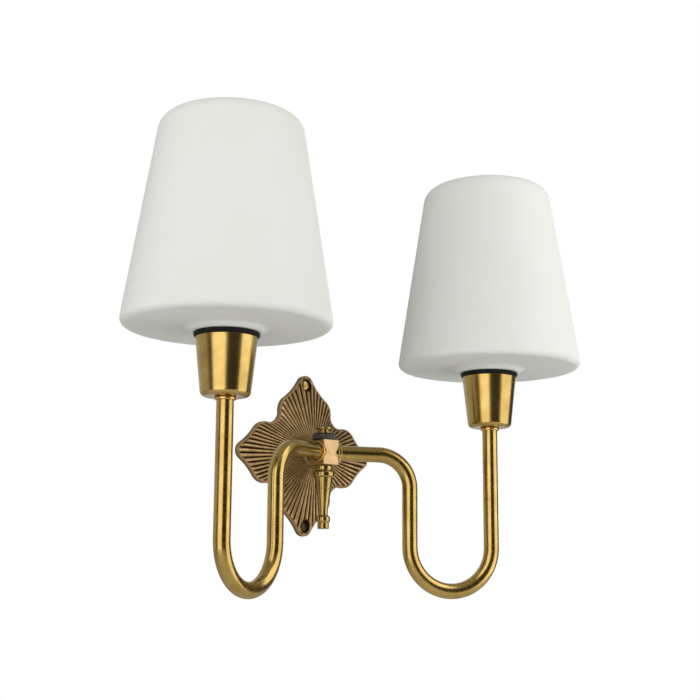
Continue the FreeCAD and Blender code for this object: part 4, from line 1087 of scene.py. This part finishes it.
class SCONCE_OT_lampholders(bpy.types.Operator):
    """Threaded lampholders and the rings that hold the glass down"""
    bl_idname = "sconce.lampholders"
    bl_label = "Lampholders"

    def execute(self, context):
        black = moulded("black_moulding", (0.014, 0.014, 0.014), 0.36)
        for side in SIDES:
            foot, height, thread = measures(f"{side}_lampholder")
            tube, body, bore, start, floor, entry, ease = mm(5.05, 13.2, 7.85, 30, 26, 8, 1.2)
            nick, edge, margin, pitch, depth = mm(0.2, 0.4, 1.0, 2.0, 0.55)
            fine = np.linspace(start + 0.3 * MM, height - margin, 150)
            left_out = 6  # points of the last corner, where the step to the thread follows
            section = np.concatenate([
                rounded([(tube, 0), (body, 0, ease), (body, start)])[:-left_out],
                [(body, start - nick), (body, start), (thread, start + 0.15 * MM)],
                np.stack([np.full_like(fine, thread), fine], axis=1),
                [(thread, height - 0.7 * MM), (thread - nick, height - nick),
                 (thread - 3 * nick, height), (bore + edge, height), (bore, height - edge),
                 (bore, floor), (0, floor), (0, entry), (tube, entry)]])
            wave = screw_thread(pitch, depth, start + margin, height - margin, thread)
            holder = turned(f"{side}_threaded_holder", section, foot, 96, sharp=40, wave=wave)
            finished(holder, black, FIXTURE, "black_plastic", f"{side}_lampholder")
            foot, height, flange = measures(f"{side}_clamp_ring")
            bore, base, hub, ease, edge, small, margin = mm(14.2, 2.6, 17.5, 0.5, 0.4, 0.3, 0.9)
            grip = np.linspace(base + margin, height - margin, 12)
            section = np.concatenate([
                [(bore, small), (bore + small, 0), (flange - ease, 0), (flange, ease),
                 (flange, base - ease), (flange - ease, base), (hub + edge, base),
                 (hub, base + edge)],
                np.stack([np.full_like(grip, hub), grip], axis=1),
                [(hub - small / 1.5, height - small), (hub - 2 * small, height),
                 (bore + small, height), (bore, height - small)]])

            def ribs(a, r, z, hub=hub, low=base + ease, high=height - ease):
                """Upright finger ribs: rounded dips between 24 lands."""
                count, depth, near = 24, 0.7 * MM, 0.05 * MM
                dips = np.clip(np.cos(count * a), 0, 1) ** 0.7
                return -depth * dips * (np.abs(r - hub) < near) * (z > low) * (z < high)

            ring = turned(f"{side}_ribbed_ring", section, foot, 192, sharp=40, wave=ribs)
            finished(ring, black, f"{side}_ring", "black_plastic", f"{side}_clamp_ring")
        return {"FINISHED"}


class SCONCE_OT_shades(bpy.types.Operator):
    """Blown opal shades, open at the top"""
    bl_idname = "sconce.shades"
    bl_label = "Shades"

    def execute(self, context):
        c = context.scene.sconce_colours
        opal = opal_glass("matt_opal", c.opal)
        wall, drop, foot_radius, top_radius = mm(3.0, 3.3, 74.0, 50.4)
        hole, seat, slope, ledge, lip, ease = mm(14.5, 25.0, 3.6, 16.4, 1.2, 0.5)
        foot_round, top_round, seat_round = mm(4.5, 12.5, 5.0)
        for side in SIDES:
            foot, height, _ = measures(f"{side}_shade")
            flare = (foot_radius - top_radius) / (height - drop)
            across = wall * math.hypot(1, flare)
            mouth = top_radius - ledge
            glass = turned(f"{side}_opal_shade", [
                (hole, 0, ease), (seat, 0, seat_round), (seat + slope, drop, seat_round),
                (foot_radius, drop, foot_round), (top_radius, height, top_round),
                (mouth, height, lip), (mouth, height - wall, lip),
                (top_radius + flare * wall - across, height - wall, top_round - wall),
                (foot_radius - flare * wall - across, drop + wall, foot_round - wall),
                (seat + slope - wall / 3, drop + wall, seat_round),
                (seat - wall / 3, wall, seat_round), (hole, wall, ease)], foot, 256, 16)
            finished(glass, opal, f"{side}_shade", "opal_glass", f"{side}_shade")
        return {"FINISHED"}


class SCONCE_OT_bulbs(bpy.types.Operator):
    """Tubular bulbs: frosted glass over a threaded cap"""
    bl_idname = "sconce.bulbs"
    bl_label = "Bulbs"

    def execute(self, context):
        plated = plain_metal("plated_cap", (0.70, 0.68, 0.62), 0.22)
        glass = frosted("frosted_bulb")
        wall, neck, widen, rise, ease, dome = mm(0.8, 6.4, 9.0, 6.2, 2.4, 10.6)
        for side in SIDES:
            foot, height, radius = measures(f"{side}_bulb_glass")
            bulb = turned(f"{side}_bulb", [
                (neck, 0), (neck, widen, ease), (radius, widen + rise, ease),
                (radius, height, dome), (0, height), (0, height - wall),
                (radius - wall, height - wall, dome - wall),
                (radius - wall, widen + rise, ease - wall), (neck - wall, widen, ease - wall),
                (neck - wall, 0)], foot, 96, 12)
            finished(bulb, glass, f"{side}_bulb", "frosted_glass", f"{side}_bulb_glass")
            foot, height, radius = measures(f"{side}_bulb_cap")
            tip, tip_height, cone, sleeve, nick, edge, deep = mm(2.4, 0.8, 3.6, 2.0, 0.1, 0.2, 3)
            start, end = cone + 2 * edge, height - sleeve
            fine = np.linspace(start, end, 110)
            section = np.concatenate([
                [(0, 0), (tip, 0), (tip, tip_height), (radius - nick, cone), (radius, cone + edge)],
                np.stack([np.full_like(fine, radius), fine], axis=1),
                [(radius, end + edge), (radius, height), (neck + nick, height),
                 (neck + nick, height - deep), (0, height - deep)]])
            cap = turned(f"{side}_threaded_cap", section, foot, 72, sharp=50, open_ends=True,
                         wave=screw_thread(2.8 * MM, 0.5 * MM, start, end, radius))
            finished(cap, plated, f"{side}_bulb", "nickel_brass", f"{side}_bulb_cap")
        return {"FINISHED"}


class SCONCE_OT_inner_parts(bpy.types.Operator):
    """Finishes for the nipples, nuts, stud, sockets and contacts, whose solids stay"""
    bl_idname = "sconce.inner_parts"
    bl_label = "Inner parts"

    def execute(self, context):
        zinc = plain_metal("zinc_plate", (0.52, 0.52, 0.50), 0.34)
        brass = plain_metal("pressed_brass", (0.66, 0.48, 0.20), 0.28)
        looks = {"stem_nipple": zinc, "stem_nut": zinc, "hub_stud": zinc}
        for side in SIDES:
            looks.update({f"{side}_cup_nipple": zinc, f"{side}_cup_nut": zinc,
                          f"{side}_socket_shell": brass, f"{side}_socket_contact": brass})
        for node, look in looks.items():
            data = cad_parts[node].data
            data.materials.clear()
            data.materials.append(look)
        return {"FINISHED"}


# ---------------------------------------------------------------- panel and registration

OPERATORS = (SCONCE_OT_stage, SCONCE_OT_wall_plate, SCONCE_OT_wall_screw, SCONCE_OT_hub,
             SCONCE_OT_knurled_nut, SCONCE_OT_turned_ends, SCONCE_OT_arms,
             SCONCE_OT_arm_sleeves, SCONCE_OT_cups, SCONCE_OT_lampholders, SCONCE_OT_shades,
             SCONCE_OT_bulbs, SCONCE_OT_inner_parts)


class SCONCE_PT_panel(bpy.types.Panel):
    """Sizes, colours and pieces of the wall sconce"""
    bl_idname = "SCONCE_PT_panel"
    bl_label = "Wall sconce"
    bl_space_type = "VIEW_3D"
    bl_region_type = "UI"
    bl_category = "Sconce"

    def draw(self, context):
        for group in GROUPS:
            column = self.layout.column(heading=group[1])
            values = getattr(context.scene, group[0])
            for key in group[2].__annotations__:
                column.prop(values, key)
        for operator in OPERATORS:
            self.layout.operator(operator.bl_idname)


GROUPS = (("sconce_plate", "Wall plate", SconcePlateSizes), ("sconce_arm", "Arms", SconceArmSizes),
          ("sconce_colours", "Colours", SconceColours))


def register():
    for name, _, group in GROUPS:
        bpy.utils.register_class(group)
        setattr(bpy.types.Scene, name, PointerProperty(type=group))
    for item in (*OPERATORS, SCONCE_PT_panel):
        bpy.utils.register_class(item)


def unregister():
    for item in (SCONCE_PT_panel, *reversed(OPERATORS)):
        bpy.utils.unregister_class(item)
    for name, _, group in reversed(GROUPS):
        delattr(bpy.types.Scene, name)
        bpy.utils.unregister_class(group)


def main():
    register()
    for operator in OPERATORS:
        family, action = operator.bl_idname.split(".")
        getattr(getattr(bpy.ops, family), action)()
    bpy.context.view_layer.update()


if __name__ == "__main__":
    main()
